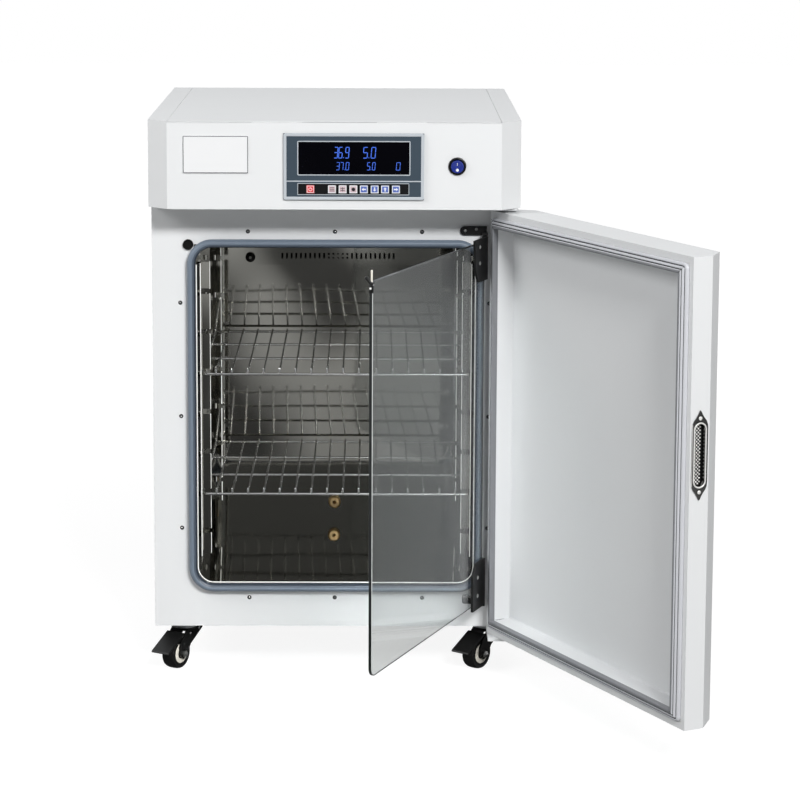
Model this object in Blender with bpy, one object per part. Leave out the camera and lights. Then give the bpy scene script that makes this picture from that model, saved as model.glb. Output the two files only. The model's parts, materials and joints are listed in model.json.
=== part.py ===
"""A benchtop-height incubator cabinet on casters, shown with both of its doors open.

Everything is modelled in the cabinet's own frame: X to the right, Y to the back, Z up,
with Y zero on the front frame's face, X zero on the cabinet's middle and Z zero on the floor.
The doors are drawn shut and then turned about their hinge axes.
At the end the whole assembly is moved so that its bounding box is centred on the origin.
"""

import math

import bmesh
import bpy
from mathutils import Vector

# Stock and clearances
SHEET = 0.0012
PLATE = 0.0015
GAP = 0.0003

# Chamber, and what is built round it
CHAMBER_WIDTH = 0.400
CHAMBER_HEIGHT = 0.496
CHAMBER_BACK = 0.414
CHAMBER_RADIUS = 0.020
WALL = 0.06125
FLOOR_RISE = 0.063
CEILING = 0.060
REAR_SPACE = 0.091

# Cabinet body
BODY_WIDTH = CHAMBER_WIDTH + 2 * WALL
BODY_DEPTH = CHAMBER_BACK + REAR_SPACE
BODY_BOTTOM = 0.069
BODY_HEIGHT = FLOOR_RISE + CHAMBER_HEIGHT + CEILING
BODY_TOP = BODY_BOTTOM + BODY_HEIGHT
CHAMBER_FLOOR = BODY_BOTTOM + FLOOR_RISE
CHAMBER_TOP = CHAMBER_FLOOR + CHAMBER_HEIGHT
FRAME_FLANGE = 0.016
INSULATION = 0.050
BACK_INSULATION = 0.030
BACK_FACE = BODY_DEPTH - PLATE - 2 * GAP

# Hood
HOOD_WIDTH = BODY_WIDTH + 0.002
HOOD_HEIGHT = 0.1234
HOOD_REACH = 0.0676
CHAMFER_DEPTH = 0.029
CHAMFER_WIDTH = 0.0286
HOOD_LOW = BODY_TOP + GAP
HOOD_TOP = HOOD_LOW + HOOD_HEIGHT
HOOD_FACE = -HOOD_REACH
HOOD_FLAT = HOOD_WIDTH / 2 - CHAMFER_WIDTH

# Chamber seal
SEAL_BAND = 0.0120
SEAL_DEPTH = 0.0142
SEAL_WIDTH = CHAMBER_WIDTH + 0.0214
SEAL_LOW = CHAMBER_FLOOR - 0.0097
SEAL_HIGH = CHAMBER_TOP + 0.0098
SEAL_RADIUS = 0.036

# Outer door
DOOR_WIDTH = BODY_WIDTH + 0.002
DOOR_LOW = BODY_BOTTOM - 0.0051
DOOR_HIGH = BODY_TOP - 0.0064
DOOR_GAP = 0.0097
DOOR_THICK = 0.0579
DOOR_FLANGE = 0.009
DOOR_GASKET = 0.014
DOOR_PAN = 0.025
DOOR_AXIS = (BODY_WIDTH / 2 - 0.01825, -0.0247)
DOOR_OPEN = 116.8
DOOR_INNER = -DOOR_GAP
DOOR_FACE = -DOOR_GAP - DOOR_THICK
DOOR_REACH = DOOR_FLANGE + DOOR_GASKET
HINGE_SEAT = 0.0054

# Glass door
GLASS_AXIS = (CHAMBER_WIDTH / 2 + 0.0135, -0.0178)
GLASS_OPEN = 67.68
GLASS_THICK = 0.005
GLASS_INNER = -0.0148
GLASS_LOW = SEAL_LOW - 0.0090
GLASS_HIGH = SEAL_HIGH + 0.0006
GLASS_EDGE = -CHAMBER_WIDTH / 2 - 0.0109
GLASS_RADIUS = 0.012
CLAMP_START = 0.003
CLAMP_PLATE = 0.0034
CLAMP_INNER = GLASS_INNER - GLASS_THICK - GAP
CLAMP_OUTER = CLAMP_INNER - CLAMP_PLATE
BARREL_RADIUS = 0.0036
GLASS_PIN = 0.0015
CATCH_RISE = 0.0059
CATCH_PULL = 0.0155

# Rack and shelves
POST_DEPTH = 0.020
POST_WIDTH = 0.0192
POST_LOW = CHAMBER_FLOOR + 0.0386
POST_HIGH = CHAMBER_TOP - 0.028
FRONT_POST = 0.012
REAR_POST = CHAMBER_BACK - 0.042
NOTCH_FIRST = CHAMBER_FLOOR + 0.0719
NOTCH_END = 0.0427
NOTCH_COUNT = 7
NOTCH_PITCH = (POST_HIGH - NOTCH_END - NOTCH_FIRST) / (NOTCH_COUNT - 1)
NOTCH_HALF = 0.004
RAIL_X = CHAMBER_WIDTH / 2 - 0.007
RAIL_RADIUS = 0.002
SHELF_FRONT = 0.019
SHELF_END = CHAMBER_BACK - 0.0085
SHELF_BARS = (CHAMBER_BACK - 0.266, CHAMBER_BACK - 0.144, CHAMBER_BACK - 0.027)
WIRE_RADIUS = 0.0015
WIRE_EDGE = 0.02825
WIRE_COUNT = 16
WIRE_PITCH = (CHAMBER_WIDTH - 2 * WIRE_EDGE) / (WIRE_COUNT - 1)

# Fan and duct at the back of the chamber
DUCT_HALF = CHAMBER_WIDTH / 2 - 0.054
DUCT_FRONT = CHAMBER_BACK - 0.064
DUCT_LOW = CHAMBER_TOP - 0.0784
SLOT_PITCH = 0.0072
SLOT_COUNT = 25
FAN_Y = CHAMBER_BACK - 0.029
FAN_Z = CHAMBER_TOP - 0.039
FAN_RADIUS = 0.028
SHAFT_RADIUS = 0.003
MOTOR_FACE = CHAMBER_BACK + SHEET + BACK_INSULATION + 0.0013
MOTOR_RADIUS = 0.035
HEATER_X = (DUCT_HALF - 0.091, DUCT_HALF - 0.021)
HEATER_Y = CHAMBER_BACK - 0.034
HEATER_Z = CHAMBER_TOP - 0.053
HEATER_RADIUS = 0.003
FITTING_X = -0.006
FITTING_Z = CHAMBER_FLOOR + 0.027
FITTING_RADIUS = 0.006
GLAND_X = BODY_WIDTH / 2 - 0.08125
GLAND_Z = BODY_BOTTOM + 0.051
GLAND_RADIUS = 0.0075

# Control panel on the hood's face
PANEL_X = 0.0271
PANEL_WIDTH = 0.1962
PANEL_HEIGHT = 0.0931
PANEL_LOW = (PANEL_X - PANEL_WIDTH / 2, HOOD_LOW + 0.0142)
PANEL_HIGH = (PANEL_X + PANEL_WIDTH / 2, PANEL_LOW[1] + PANEL_HEIGHT)
PANEL_THICK = 0.0027
WINDOW_LOW = (PANEL_LOW[0] + 0.0205, PANEL_LOW[1] + 0.0353)
WINDOW_HIGH = (PANEL_HIGH[0] - 0.0202, PANEL_HIGH[1] - 0.0117)
KEY_STEPS = (0.0376, 0.0677, 0.0826, 0.0976, 0.1123, 0.1273, 0.1419, 0.1570)
KEY_X = tuple(PANEL_LOW[0] + step for step in KEY_STEPS)
KEY_Z = PANEL_LOW[1] + 0.0149
KEY_HALF = 0.0055
KEY_NAMES = (
    "key_power",
    "key_menu",
    "key_mode",
    "key_set",
    "key_left",
    "key_down",
    "key_up",
    "key_right",
)
BOARD_DEPTH = 0.0076
SWITCH = (HOOD_FLAT - 0.06195, HOOD_LOW + 0.0615)
SWITCH_TILT = 6.0
ROCKER_RADIUS = 0.009
NAMEPLATE_LEFT = 0.02205 - HOOD_FLAT
NAMEPLATE_WIDTH = 0.0916
NAMEPLATE_LOW = HOOD_LOW + 0.0507
NAMEPLATE_HEIGHT = 0.0527

# Handle on the door's free edge
HANDLE_Z = (DOOR_LOW + DOOR_HIGH) / 2 + 0.05345
HANDLE_LENGTH = 0.1175
HANDLE_WIDTH = 0.024
HANDLE_FROM_FACE = 0.014
CUP_LENGTH = 0.084
CUP_WIDTH = 0.018
CUP_DEPTH = 0.0105

# Casters
CASTER_X = BODY_WIDTH / 2 - 0.03975
CASTER_INSET = 0.040
CASTER_PLATE = 0.050
CASTER_PLATE_LOW = BODY_BOTTOM - 0.003
TRAIL = 0.022
WHEEL_RADIUS = 0.023
WHEEL_HALF = 0.0095
FORK_INSIDE = 0.0117
FORK_OUTSIDE = 0.0142
FORK_TOP = CASTER_PLATE_LOW - 0.0085
AXLE_RADIUS = 0.003
PEDAL_PIVOT = (0.017, 0.0488)
PEDAL_PIN = 0.002
CASTERS = (
    ("front_left", -1, False, 239.0),
    ("front_right", 1, False, 231.0),
    ("rear_left", -1, True, 70.0),
    ("rear_right", 1, True, 110.0),
)


def clear_scene():
    for thing in list(bpy.data.objects):
        bpy.data.objects.remove(thing, do_unlink=True)


def material(name, colour, roughness, metallic=0.0, alpha=1.0):
    found = bpy.data.materials.get(name)
    if found:
        return found
    made = bpy.data.materials.new(name)
    made.use_nodes = True
    shader = made.node_tree.nodes["Principled BSDF"]
    shader.inputs["Base Color"].default_value = (*colour, 1.0)
    shader.inputs["Roughness"].default_value = roughness
    shader.inputs["Metallic"].default_value = metallic
    shader.inputs["Alpha"].default_value = alpha
    made.diffuse_color = (*colour, alpha)
    return made


def white_paint():
    return material("white_paint", (0.82, 0.83, 0.83), 0.35)


def liner_paint():
    return material("liner_paint", (0.72, 0.73, 0.74), 0.45)


def polished_steel():
    return material("polished_steel", (0.72, 0.72, 0.70), 0.12, 1.0)


def galvanised_steel():
    return material("galvanised_steel", (0.55, 0.57, 0.58), 0.40, 0.9)


def foam():
    return material("foam", (0.78, 0.72, 0.50), 0.90)


def seal_rubber():
    return material("seal_rubber", (0.22, 0.28, 0.37), 0.45)


def gasket_rubber():
    return material("gasket_rubber", (0.42, 0.44, 0.45), 0.50)


def black_steel():
    return material("black_steel", (0.03, 0.03, 0.03), 0.40, 0.3)


def black_plastic():
    return material("black_plastic", (0.02, 0.02, 0.02), 0.40)


def smoked_glass():
    return material("smoked_glass", (0.30, 0.33, 0.33), 0.05, 0.0, 0.45)


def brass():
    return material("brass", (0.75, 0.55, 0.25), 0.25, 1.0)


def slate_panel():
    return material("slate_panel", (0.10, 0.14, 0.20), 0.45)


def display_glass():
    return material("display_glass", (0.01, 0.01, 0.02), 0.10)


def red_key():
    return material("red_key", (0.75, 0.08, 0.10), 0.50)


def pink_key():
    return material("pink_key", (0.75, 0.66, 0.68), 0.50)


def blue_key():
    return material("blue_key", (0.20, 0.28, 0.70), 0.50)


def blue_rocker():
    return material("blue_rocker", (0.05, 0.10, 0.45), 0.30)


def white_label():
    return material("white_label", (0.88, 0.88, 0.88), 0.45)


def circuit_green():
    return material("circuit_green", (0.05, 0.22, 0.10), 0.50)


def wheel_rubber():
    return material("wheel_rubber", (0.02, 0.02, 0.02), 0.55)


def empty(name, location, parent, turn=0.0):
    made = bpy.data.objects.new(name, None)
    bpy.context.scene.collection.objects.link(made)
    made.parent = parent
    made.location = location
    made.rotation_euler = (0.0, 0.0, math.radians(turn))
    made.empty_display_size = 0.02
    return made


def put(point, plane, level):
    a, b = point
    if plane == "XZ":
        return Vector((a, level, b))
    if plane == "YZ":
        return Vector((level, a, b))
    return Vector((a, b, level))


def loft(bm, loops, ring=False):
    """Skins a list of loops that have the same number of points."""
    rows = [[bm.verts.new(point) for point in loop] for loop in loops]
    pairs = list(zip(rows, rows[1:]))
    if ring:
        pairs.append((rows[-1], rows[0]))
    for first, second in pairs:
        count = len(first)
        for i in range(count):
            j = (i + 1) % count
            bm.faces.new((first[i], first[j], second[j], second[i]))
    if not ring:
        bm.faces.new(rows[0])
        bm.faces.new(rows[-1])


def prism(bm, outline, plane, low, high):
    loops = [[put(p, plane, level) for p in outline] for level in (low, high)]
    loft(bm, loops)


def box(bm, low, high):
    outline = [
        (low[0], low[1]),
        (high[0], low[1]),
        (high[0], high[1]),
        (low[0], high[1]),
    ]
    prism(bm, outline, "XY", low[2], high[2])


def circle(centre, radius, sides, turn=0.0):
    angles = [turn + 2 * math.pi * i / sides for i in range(sides)]
    return [(centre[0] + radius * math.cos(a), centre[1] + radius * math.sin(a)) for a in angles]


def cylinder(bm, centre, radius, plane, low, high, sides=24):
    prism(bm, circle(centre, radius, sides), plane, low, high)


def lathe(bm, profile, centre, plane, sides=24, ring=False, turn=0.0):
    """Turns a profile of (radius, level) about an axis square to the plane."""
    loops = []
    for radius, level in profile:
        outline = circle(centre, radius, sides, turn)
        loops.append([put(p, plane, level) for p in outline])
    loft(bm, loops, ring)


def rounded_rect(low, high, radius, steps=4):
    corners = (
        (high[0] - radius, high[1] - radius, 0.0),
        (low[0] + radius, high[1] - radius, 0.5),
        (low[0] + radius, low[1] + radius, 1.0),
        (high[0] - radius, low[1] + radius, 1.5),
    )
    points = []
    for x, z, start in corners:
        for i in range(steps + 1):
            a = math.pi * (start + 0.5 * i / steps)
            points.append((x + radius * math.cos(a), z + radius * math.sin(a)))
    return points


def stadium(centre, length, width, steps=6):
    half = (length - width) / 2
    low = (centre[0] - width / 2, centre[1] - half - width / 2)
    high = (centre[0] + width / 2, centre[1] + half + width / 2)
    return rounded_rect(low, high, width / 2 - 0.00005, steps)


def inset(points, distance):
    """Moves each side of a convex outline inwards."""
    count = len(points)
    middle = Vector((sum(p[0] for p in points) / count, sum(p[1] for p in points) / count))
    lines = []
    for i in range(count):
        a = Vector(points[i])
        b = Vector(points[(i + 1) % count])
        along = (b - a).normalized()
        inward = Vector((-along.y, along.x))
        if (middle - a).dot(inward) < 0:
            inward = -inward
        lines.append((a + distance * inward, along))
    moved = []
    for i in range(count):
        a, u = lines[i - 1]
        b, v = lines[i]
        cross = u.x * v.y - u.y * v.x
        t = ((b.x - a.x) * v.y - (b.y - a.y) * v.x) / cross
        moved.append(tuple(a + t * u))
    return moved


def rod(bm, path, radius, normal, sides=6):
    """Sweeps a round bar along a path that lies in the plane square to normal."""
    points = [Vector(p) for p in path]
    normal = Vector(normal)
    loops = []
    for i, point in enumerate(points):
        before = (point - points[i - 1]).normalized() if i else None
        after = (points[i + 1] - point).normalized() if i + 1 < len(points) else None
        ends = [v for v in (before, after) if v is not None]
        along = sum(ends, Vector()).normalized()
        stretch = 1.0 / max(0.5, along.dot(ends[0]))
        side = along.cross(normal)
        loop = []
        for k in range(sides):
            a = 2 * math.pi * k / sides
            loop.append(point + radius * (math.cos(a) * normal + stretch * math.sin(a) * side))
        loops.append(loop)
    loft(bm, loops)


def bend(corner, before, after, radius, steps=3):
    """Points of a rounded bend in a rod's path."""
    corner = Vector(corner)
    back = (Vector(before) - corner).normalized()
    ahead = (Vector(after) - corner).normalized()
    centre = corner + radius * (back + ahead)
    points = []
    for i in range(steps + 1):
        a = 0.5 * math.pi * i / steps
        points.append(centre - radius * (math.cos(a) * ahead + math.sin(a) * back))
    return points


def mesh_object(bm, name, parent, location=(0.0, 0.0, 0.0)):
    bmesh.ops.recalc_face_normals(bm, faces=bm.faces)
    mesh = bpy.data.meshes.new(name)
    bm.to_mesh(mesh)
    bm.free()
    made = bpy.data.objects.new(name, mesh)
    bpy.context.scene.collection.objects.link(made)
    made.parent = parent
    made.location = location
    return made


def solid(bm, name, finish, parent, location=(0.0, 0.0, 0.0), smooth=False):
    made = mesh_object(bm, name, parent, location)
    made.data.materials.append(finish)
    if smooth:
        made.data.shade_smooth()
        made.data.set_sharp_from_angle(angle=math.radians(35))
    return made


def shape(target, bm, operation):
    """Cuts a helper mesh from a solid or joins it on."""
    tool = mesh_object(bm, target.name + "_tool", target.parent, target.location)
    tool.hide_render = True
    tool.display_type = "WIRE"
    step = target.modifiers.new(operation.lower(), "BOOLEAN")
    step.operation = operation
    step.solver = "EXACT"
    step.object = tool


def cut(target, bm):
    shape(target, bm, "DIFFERENCE")


def join(target, bm):
    shape(target, bm, "UNION")


def chamfered_plan(half, back, face):
    return [
        (-half, back),
        (-half, face + CHAMFER_DEPTH),
        (-half + CHAMFER_WIDTH, face),
        (half - CHAMFER_WIDTH, face),
        (half, face + CHAMFER_DEPTH),
        (half, back),
    ]


def with_back(plan, back):
    """The same outline with its two rearmost points moved."""
    rear = max(p[1] for p in plan)
    return [(p[0], back if p[1] > rear - 1e-6 else p[1]) for p in plan]


def cabinet_shell(root):
    half = BODY_WIDTH / 2
    inner = half - SHEET
    outline = [
        (-half, BODY_BOTTOM),
        (-half, BODY_TOP),
        (half, BODY_TOP),
        (half, BODY_BOTTOM),
        (inner, BODY_BOTTOM),
        (inner, BODY_TOP - SHEET),
        (-inner, BODY_TOP - SHEET),
        (-inner, BODY_BOTTOM),
    ]
    bm = bmesh.new()
    prism(bm, outline, "XZ", PLATE + GAP, BACK_FACE)
    solid(bm, "cabinet_shell", white_paint(), root)


def front_frame(root):
    half = BODY_WIDTH / 2
    flange = half - SHEET - GAP
    hole = CHAMBER_WIDTH / 2 + SHEET + GAP
    hole_low = (-hole, CHAMBER_FLOOR - SHEET - GAP)
    hole_high = (hole, CHAMBER_TOP + SHEET + GAP)
    flange_low = (-flange, BODY_BOTTOM + PLATE + GAP)
    flange_high = (flange, BODY_TOP - SHEET - GAP)
    inner_low = (flange_low[0] + SHEET, flange_low[1] + SHEET)
    inner_high = (flange_high[0] - SHEET, flange_high[1] - SHEET)
    profile = (
        (hole_low, hole_high, 0.0),
        ((-half, BODY_BOTTOM), (half, BODY_TOP), 0.0),
        ((-half, BODY_BOTTOM), (half, BODY_TOP), PLATE),
        (flange_low, flange_high, PLATE),
        (flange_low, flange_high, FRAME_FLANGE),
        (inner_low, inner_high, FRAME_FLANGE),
        (inner_low, inner_high, PLATE),
        (hole_low, hole_high, PLATE),
    )
    loops = []
    for low, high, level in profile:
        outline = rounded_rect(low, high, 0.0006, 1)
        loops.append([put(p, "XZ", level) for p in outline])
    bm = bmesh.new()
    loft(bm, loops, ring=True)
    frame = solid(bm, "front_frame", white_paint(), root)
    tool = bmesh.new()
    cylinder(tool, socket_centre(), 0.0043, "XZ", -0.01, 0.01, 16)
    cut(frame, tool)


def socket_centre():
    return (-CHAMBER_WIDTH / 2 - 0.0093, GLASS_HIGH - 0.0091)


def base_pan(root):
    half = BODY_WIDTH / 2 - SHEET - GAP
    front = FRAME_FLANGE + 2 * GAP
    rim = BODY_BOTTOM + 0.021
    floor = BODY_BOTTOM + PLATE
    low = (-half, front)
    high = (half, BACK_FACE)
    inner_low = (low[0] + SHEET, low[1] + SHEET)
    inner_high = (high[0] - SHEET, high[1] - SHEET)
    profile = (
        (inner_low, inner_high, floor),
        (inner_low, inner_high, rim),
        (low, high, rim),
        (low, high, BODY_BOTTOM),
    )
    loops = []
    for a, b, level in profile:
        outline = rounded_rect(a, b, 0.0006, 1)
        loops.append([put(p, "XY", level) for p in outline])
    bm = bmesh.new()
    loft(bm, loops)
    pan = solid(bm, "base_pan", galvanised_steel(), root)
    strip = bmesh.new()
    box(strip, (-half, PLATE + GAP, BODY_BOTTOM), (half, front + 0.012, floor))
    join(pan, strip)
    plates = bmesh.new()
    holes = bmesh.new()
    reach = CASTER_PLATE / 2
    for _, side, rear, _ in CASTERS:
        x, y = caster_place(side, rear)
        low = (x - reach, y - reach, CASTER_PLATE_LOW)
        box(plates, low, (x + reach, y + reach, BODY_BOTTOM + PLATE / 2))
        cylinder(holes, (x, y), 0.0054, "XY", 0.05, 0.08, 16)
    join(pan, plates)
    cut(pan, holes)


def caster_place(side, rear):
    return side * CASTER_X, BODY_DEPTH - CASTER_INSET if rear else CASTER_INSET


def back_panel(root):
    body = BODY_WIDTH / 2
    hood = HOOD_WIDTH / 2
    outline = [
        (-body, BODY_BOTTOM),
        (-body, HOOD_LOW),
        (-hood, HOOD_LOW),
        (-hood, HOOD_TOP),
        (hood, HOOD_TOP),
        (hood, HOOD_LOW),
        (body, HOOD_LOW),
        (body, BODY_BOTTOM),
    ]
    bm = bmesh.new()
    prism(bm, outline, "XZ", BACK_FACE + GAP, BODY_DEPTH - GAP)
    panel = solid(bm, "back_panel", white_paint(), root)
    holes = bmesh.new()
    near, far = BODY_DEPTH - 0.02, BODY_DEPTH + 0.02
    upper = HOOD_LOW + 0.0367
    for x, low in ((-0.100, upper), (0.100, upper), (0.0, BODY_BOTTOM + 0.371)):
        for i in range(6):
            z = low + 0.010 * i
            box(holes, (x - 0.040, near, z), (x + 0.040, far, z + 0.004))
    cylinder(holes, (FITTING_X, FITTING_Z), FITTING_RADIUS + 0.0008, "XZ", near, far, 20)
    cylinder(holes, (GLAND_X, GLAND_Z), GLAND_RADIUS + 0.0008, "XZ", near, far, 20)
    cut(panel, holes)


def hood_shell(root):
    half = HOOD_WIDTH / 2
    plan = chamfered_plan(half, BACK_FACE, HOOD_FACE)
    bm = bmesh.new()
    prism(bm, plan, "XY", HOOD_LOW, HOOD_TOP)
    shell = solid(bm, "hood_shell", white_paint(), root)
    hollow = bmesh.new()
    inner = with_back(inset(plan, SHEET), BACK_FACE + 0.02)
    prism(hollow, inner, "XY", HOOD_LOW - 0.02, HOOD_TOP - SHEET)
    cut(shell, hollow)
    holes = bmesh.new()
    seam = HOOD_FLAT
    lid = HOOD_TOP - SHEET - GAP
    box(holes, (-seam, HOOD_FACE - 0.02, lid), (seam, BACK_FACE + 0.02, HOOD_TOP + 0.02))
    low = (PANEL_LOW[0] + 0.011, HOOD_FACE - 0.01, PANEL_LOW[1] + 0.0055)
    high = (PANEL_HIGH[0] - 0.0112, HOOD_FACE + 0.01, PANEL_HIGH[1] - 0.0086)
    box(holes, low, high)
    cylinder(holes, SWITCH, ROCKER_RADIUS + 0.0023, "XZ", HOOD_FACE - 0.01, HOOD_FACE + 0.01)
    cut(shell, holes)


def hood_lid(root):
    seam = HOOD_FLAT - GAP
    bm = bmesh.new()
    box(bm, (-seam, HOOD_FACE, HOOD_TOP - SHEET), (seam, BACK_FACE, HOOD_TOP))
    solid(bm, "hood_lid", white_paint(), root)


def hood_deck(root):
    plan = chamfered_plan(HOOD_WIDTH / 2, BACK_FACE, HOOD_FACE)
    bm = bmesh.new()
    inner = with_back(inset(plan, SHEET + GAP), BACK_FACE)
    prism(bm, inner, "XY", HOOD_LOW, HOOD_LOW + PLATE)
    solid(bm, "hood_deck", galvanised_steel(), root)


def chamber_plan(grow, front):
    """The chamber's outline seen from above, with rounded rear corners."""
    half = CHAMBER_WIDTH / 2 + grow
    back = CHAMBER_BACK + grow
    radius = CHAMBER_RADIUS + grow
    points = [(half, front)]
    for x, start in ((half - radius, 0.0), (-half + radius, 0.5)):
        for i in range(6):
            a = math.pi * (start + 0.1 * i)
            points.append((x + radius * math.cos(a), back - radius + radius * math.sin(a)))
    points.append((-half, front))
    return points


def rear_holes(bm, radius_extra):
    """Cutters for what passes through the chamber's back."""
    near, far = CHAMBER_BACK - 0.010, CHAMBER_BACK + BACK_INSULATION + 0.010
    passing = [
        (0.0, FAN_Z, SHAFT_RADIUS),
        (FITTING_X, FITTING_Z, FITTING_RADIUS),
        (HEATER_X[0], HEATER_Z, HEATER_RADIUS),
        (HEATER_X[1], HEATER_Z, HEATER_RADIUS),
    ]
    for x, z, radius in passing:
        cylinder(bm, (x, z), radius + radius_extra, "XZ", near, far, 16)


def chamber_liner(root):
    bm = bmesh.new()
    prism(bm, chamber_plan(SHEET, 0.0), "XY", CHAMBER_FLOOR - SHEET, CHAMBER_TOP + SHEET)
    liner = solid(bm, "chamber_liner", polished_steel(), root, smooth=True)
    hollow = bmesh.new()
    prism(hollow, chamber_plan(0.0, -0.02), "XY", CHAMBER_FLOOR, CHAMBER_TOP)
    cut(liner, hollow)
    holes = bmesh.new()
    rear_holes(holes, 0.0005)
    cut(liner, holes)


def chamber_insulation(root):
    around = SHEET + GAP
    half = CHAMBER_WIDTH / 2 + around + INSULATION
    low = (-half, FRAME_FLANGE + 0.0025, CHAMBER_FLOOR - around - INSULATION)
    back = CHAMBER_BACK + around + BACK_INSULATION
    bm = bmesh.new()
    box(bm, low, (half, back, CHAMBER_TOP + around + INSULATION))
    block = solid(bm, "chamber_insulation", foam(), root)
    hollow = bmesh.new()
    plan = chamber_plan(around, -0.02)
    prism(hollow, plan, "XY", CHAMBER_FLOOR - around, CHAMBER_TOP + around)
    cut(block, hollow)
    holes = bmesh.new()
    rear_holes(holes, 0.0009)
    cut(block, holes)


def chamber_seal(root):
    loops = []
    for i in range(10):
        a = 2 * math.pi * i / 10
        d = SEAL_BAND / 2 * (1 - math.cos(a))
        y = -GAP - SEAL_DEPTH / 2 * (1 + math.sin(a))
        half = SEAL_WIDTH / 2 - d
        outline = rounded_rect((-half, SEAL_LOW + d), (half, SEAL_HIGH - d), SEAL_RADIUS - d, 6)
        loops.append([put(p, "XZ", y) for p in outline])
    bm = bmesh.new()
    loft(bm, loops, ring=True)
    solid(bm, "chamber_seal", seal_rubber(), root, smooth=True)


def duct_cover(root):
    top = CHAMBER_TOP - GAP
    bm = bmesh.new()
    box(bm, (-DUCT_HALF, DUCT_FRONT, DUCT_LOW), (DUCT_HALF, CHAMBER_BACK - GAP, top))
    cover = solid(bm, "duct_cover", polished_steel(), root)
    hollow = bmesh.new()
    inner = DUCT_HALF - SHEET
    low = (-inner, DUCT_FRONT + SHEET, DUCT_LOW + SHEET)
    box(hollow, low, (inner, CHAMBER_BACK + 0.02, top + 0.02))
    cut(cover, hollow)
    slots = bmesh.new()
    for i in range(SLOT_COUNT):
        x = SLOT_PITCH * (i - (SLOT_COUNT - 1) / 2)
        low = (x - 0.0015, DUCT_FRONT - 0.01, DUCT_LOW + 0.0095)
        box(slots, low, (x + 0.0015, DUCT_FRONT + 0.01, DUCT_LOW + 0.0185))
    cylinder(slots, (0.0, CHAMBER_BACK - 0.031), 0.020, "XY", DUCT_LOW - 0.01, DUCT_LOW + 0.009, 20)
    cut(cover, slots)


def fan_motor(root):
    face = MOTOR_FACE
    profile = (
        (SHAFT_RADIUS + GAP, face + 0.024),
        (SHAFT_RADIUS + GAP, face),
        (MOTOR_RADIUS - 0.001, face),
        (MOTOR_RADIUS, face + 0.002),
        (MOTOR_RADIUS, face + 0.043),
        (MOTOR_RADIUS - 0.005, face + 0.047),
    )
    bm = bmesh.new()
    lathe(bm, profile, (0.0, FAN_Z), "XZ")
    solid(bm, "fan_motor", galvanised_steel(), root, smooth=True)


def fan_impeller(root):
    profile = (
        (SHAFT_RADIUS, MOTOR_FACE + 0.0215 - FAN_Y),
        (SHAFT_RADIUS, 0.0095),
        (FAN_RADIUS, 0.0095),
        (FAN_RADIUS, 0.0075),
        (0.008, 0.0075),
        (0.008, -0.009),
    )
    place = (0.0, FAN_Y, FAN_Z)
    bm = bmesh.new()
    lathe(bm, profile, (0.0, 0.0), "XZ")
    impeller = solid(bm, "fan_impeller", galvanised_steel(), root, place)
    blades = bmesh.new()
    for i in range(8):
        a = math.pi * i / 4
        along = Vector((math.cos(a), math.sin(a)))
        side = Vector((-along.y, along.x)) * 0.0006
        near = along * 0.0066
        far = along * (FAN_RADIUS - 0.0005)
        outline = [near - side, far - side, far + side, near + side]
        prism(blades, [tuple(p) for p in outline], "XZ", -0.006, 0.0085)
    join(impeller, blades)


def heating_element(root):
    rear = CHAMBER_BACK + 0.026
    start = (HEATER_X[0], rear, HEATER_Z)
    left = (HEATER_X[0], HEATER_Y, HEATER_Z)
    right = (HEATER_X[1], HEATER_Y, HEATER_Z)
    end = (HEATER_X[1], rear, HEATER_Z)
    path = [start, *bend(left, start, right, 0.010), *bend(right, left, end, 0.010), end]
    bm = bmesh.new()
    rod(bm, path, HEATER_RADIUS, (0, 0, 1), 10)
    solid(bm, "heating_element", galvanised_steel(), root, smooth=True)


def gas_fitting(root):
    inside = CHAMBER_BACK - GAP
    outside = BODY_DEPTH
    profile = (
        (0.0030, inside - 0.0087),
        (0.0075, inside - 0.0087),
        (0.0100, inside - 0.0060),
        (0.0100, inside),
        (FITTING_RADIUS, inside),
        (FITTING_RADIUS, outside),
        (0.0100, outside),
        (0.0100, outside + 0.005),
        (0.0045, outside + 0.005),
        (0.0045, outside + 0.020),
        (0.0030, outside + 0.020),
    )
    bm = bmesh.new()
    lathe(bm, profile, (FITTING_X, FITTING_Z), "XZ", 20, ring=True)
    solid(bm, "gas_fitting", brass(), root, smooth=True)


def cable_gland(root):
    outside = BODY_DEPTH
    profile = (
        (0.0040, outside - 0.012),
        (GLAND_RADIUS, outside - 0.012),
        (GLAND_RADIUS, outside),
        (0.0115, outside),
        (0.0115, outside + 0.006),
        (0.0090, outside + 0.012),
        (0.0060, outside + 0.014),
        (0.0040, outside + 0.014),
    )
    bm = bmesh.new()
    lathe(bm, profile, (GLAND_X, GLAND_Z), "XZ", 20, ring=True)
    solid(bm, "cable_gland", black_plastic(), root, smooth=True)


def panel_bezel(root):
    back = HOOD_FACE - GAP
    bm = bmesh.new()
    low = (PANEL_LOW[0], back - PANEL_THICK, PANEL_LOW[1])
    box(bm, low, (PANEL_HIGH[0], back, PANEL_HIGH[1]))
    bezel = solid(bm, "panel_bezel", slate_panel(), root)
    holes = bmesh.new()
    near, far = back - 0.01, back + 0.01
    box(holes, (WINDOW_LOW[0], near, WINDOW_LOW[1]), (WINDOW_HIGH[0], far, WINDOW_HIGH[1]))
    reach = KEY_HALF + GAP
    for x in KEY_X:
        box(holes, (x - reach, near, KEY_Z - reach), (x + reach, far, KEY_Z + reach))
    cut(bezel, holes)


def display_window(root):
    bm = bmesh.new()
    low = (WINDOW_LOW[0] + GAP, HOOD_FACE - 0.0027, WINDOW_LOW[1] + GAP)
    high = (WINDOW_HIGH[0] - GAP, HOOD_FACE + 0.0021, WINDOW_HIGH[1] - GAP)
    box(bm, low, high)
    solid(bm, "display_window", display_glass(), root)


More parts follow.
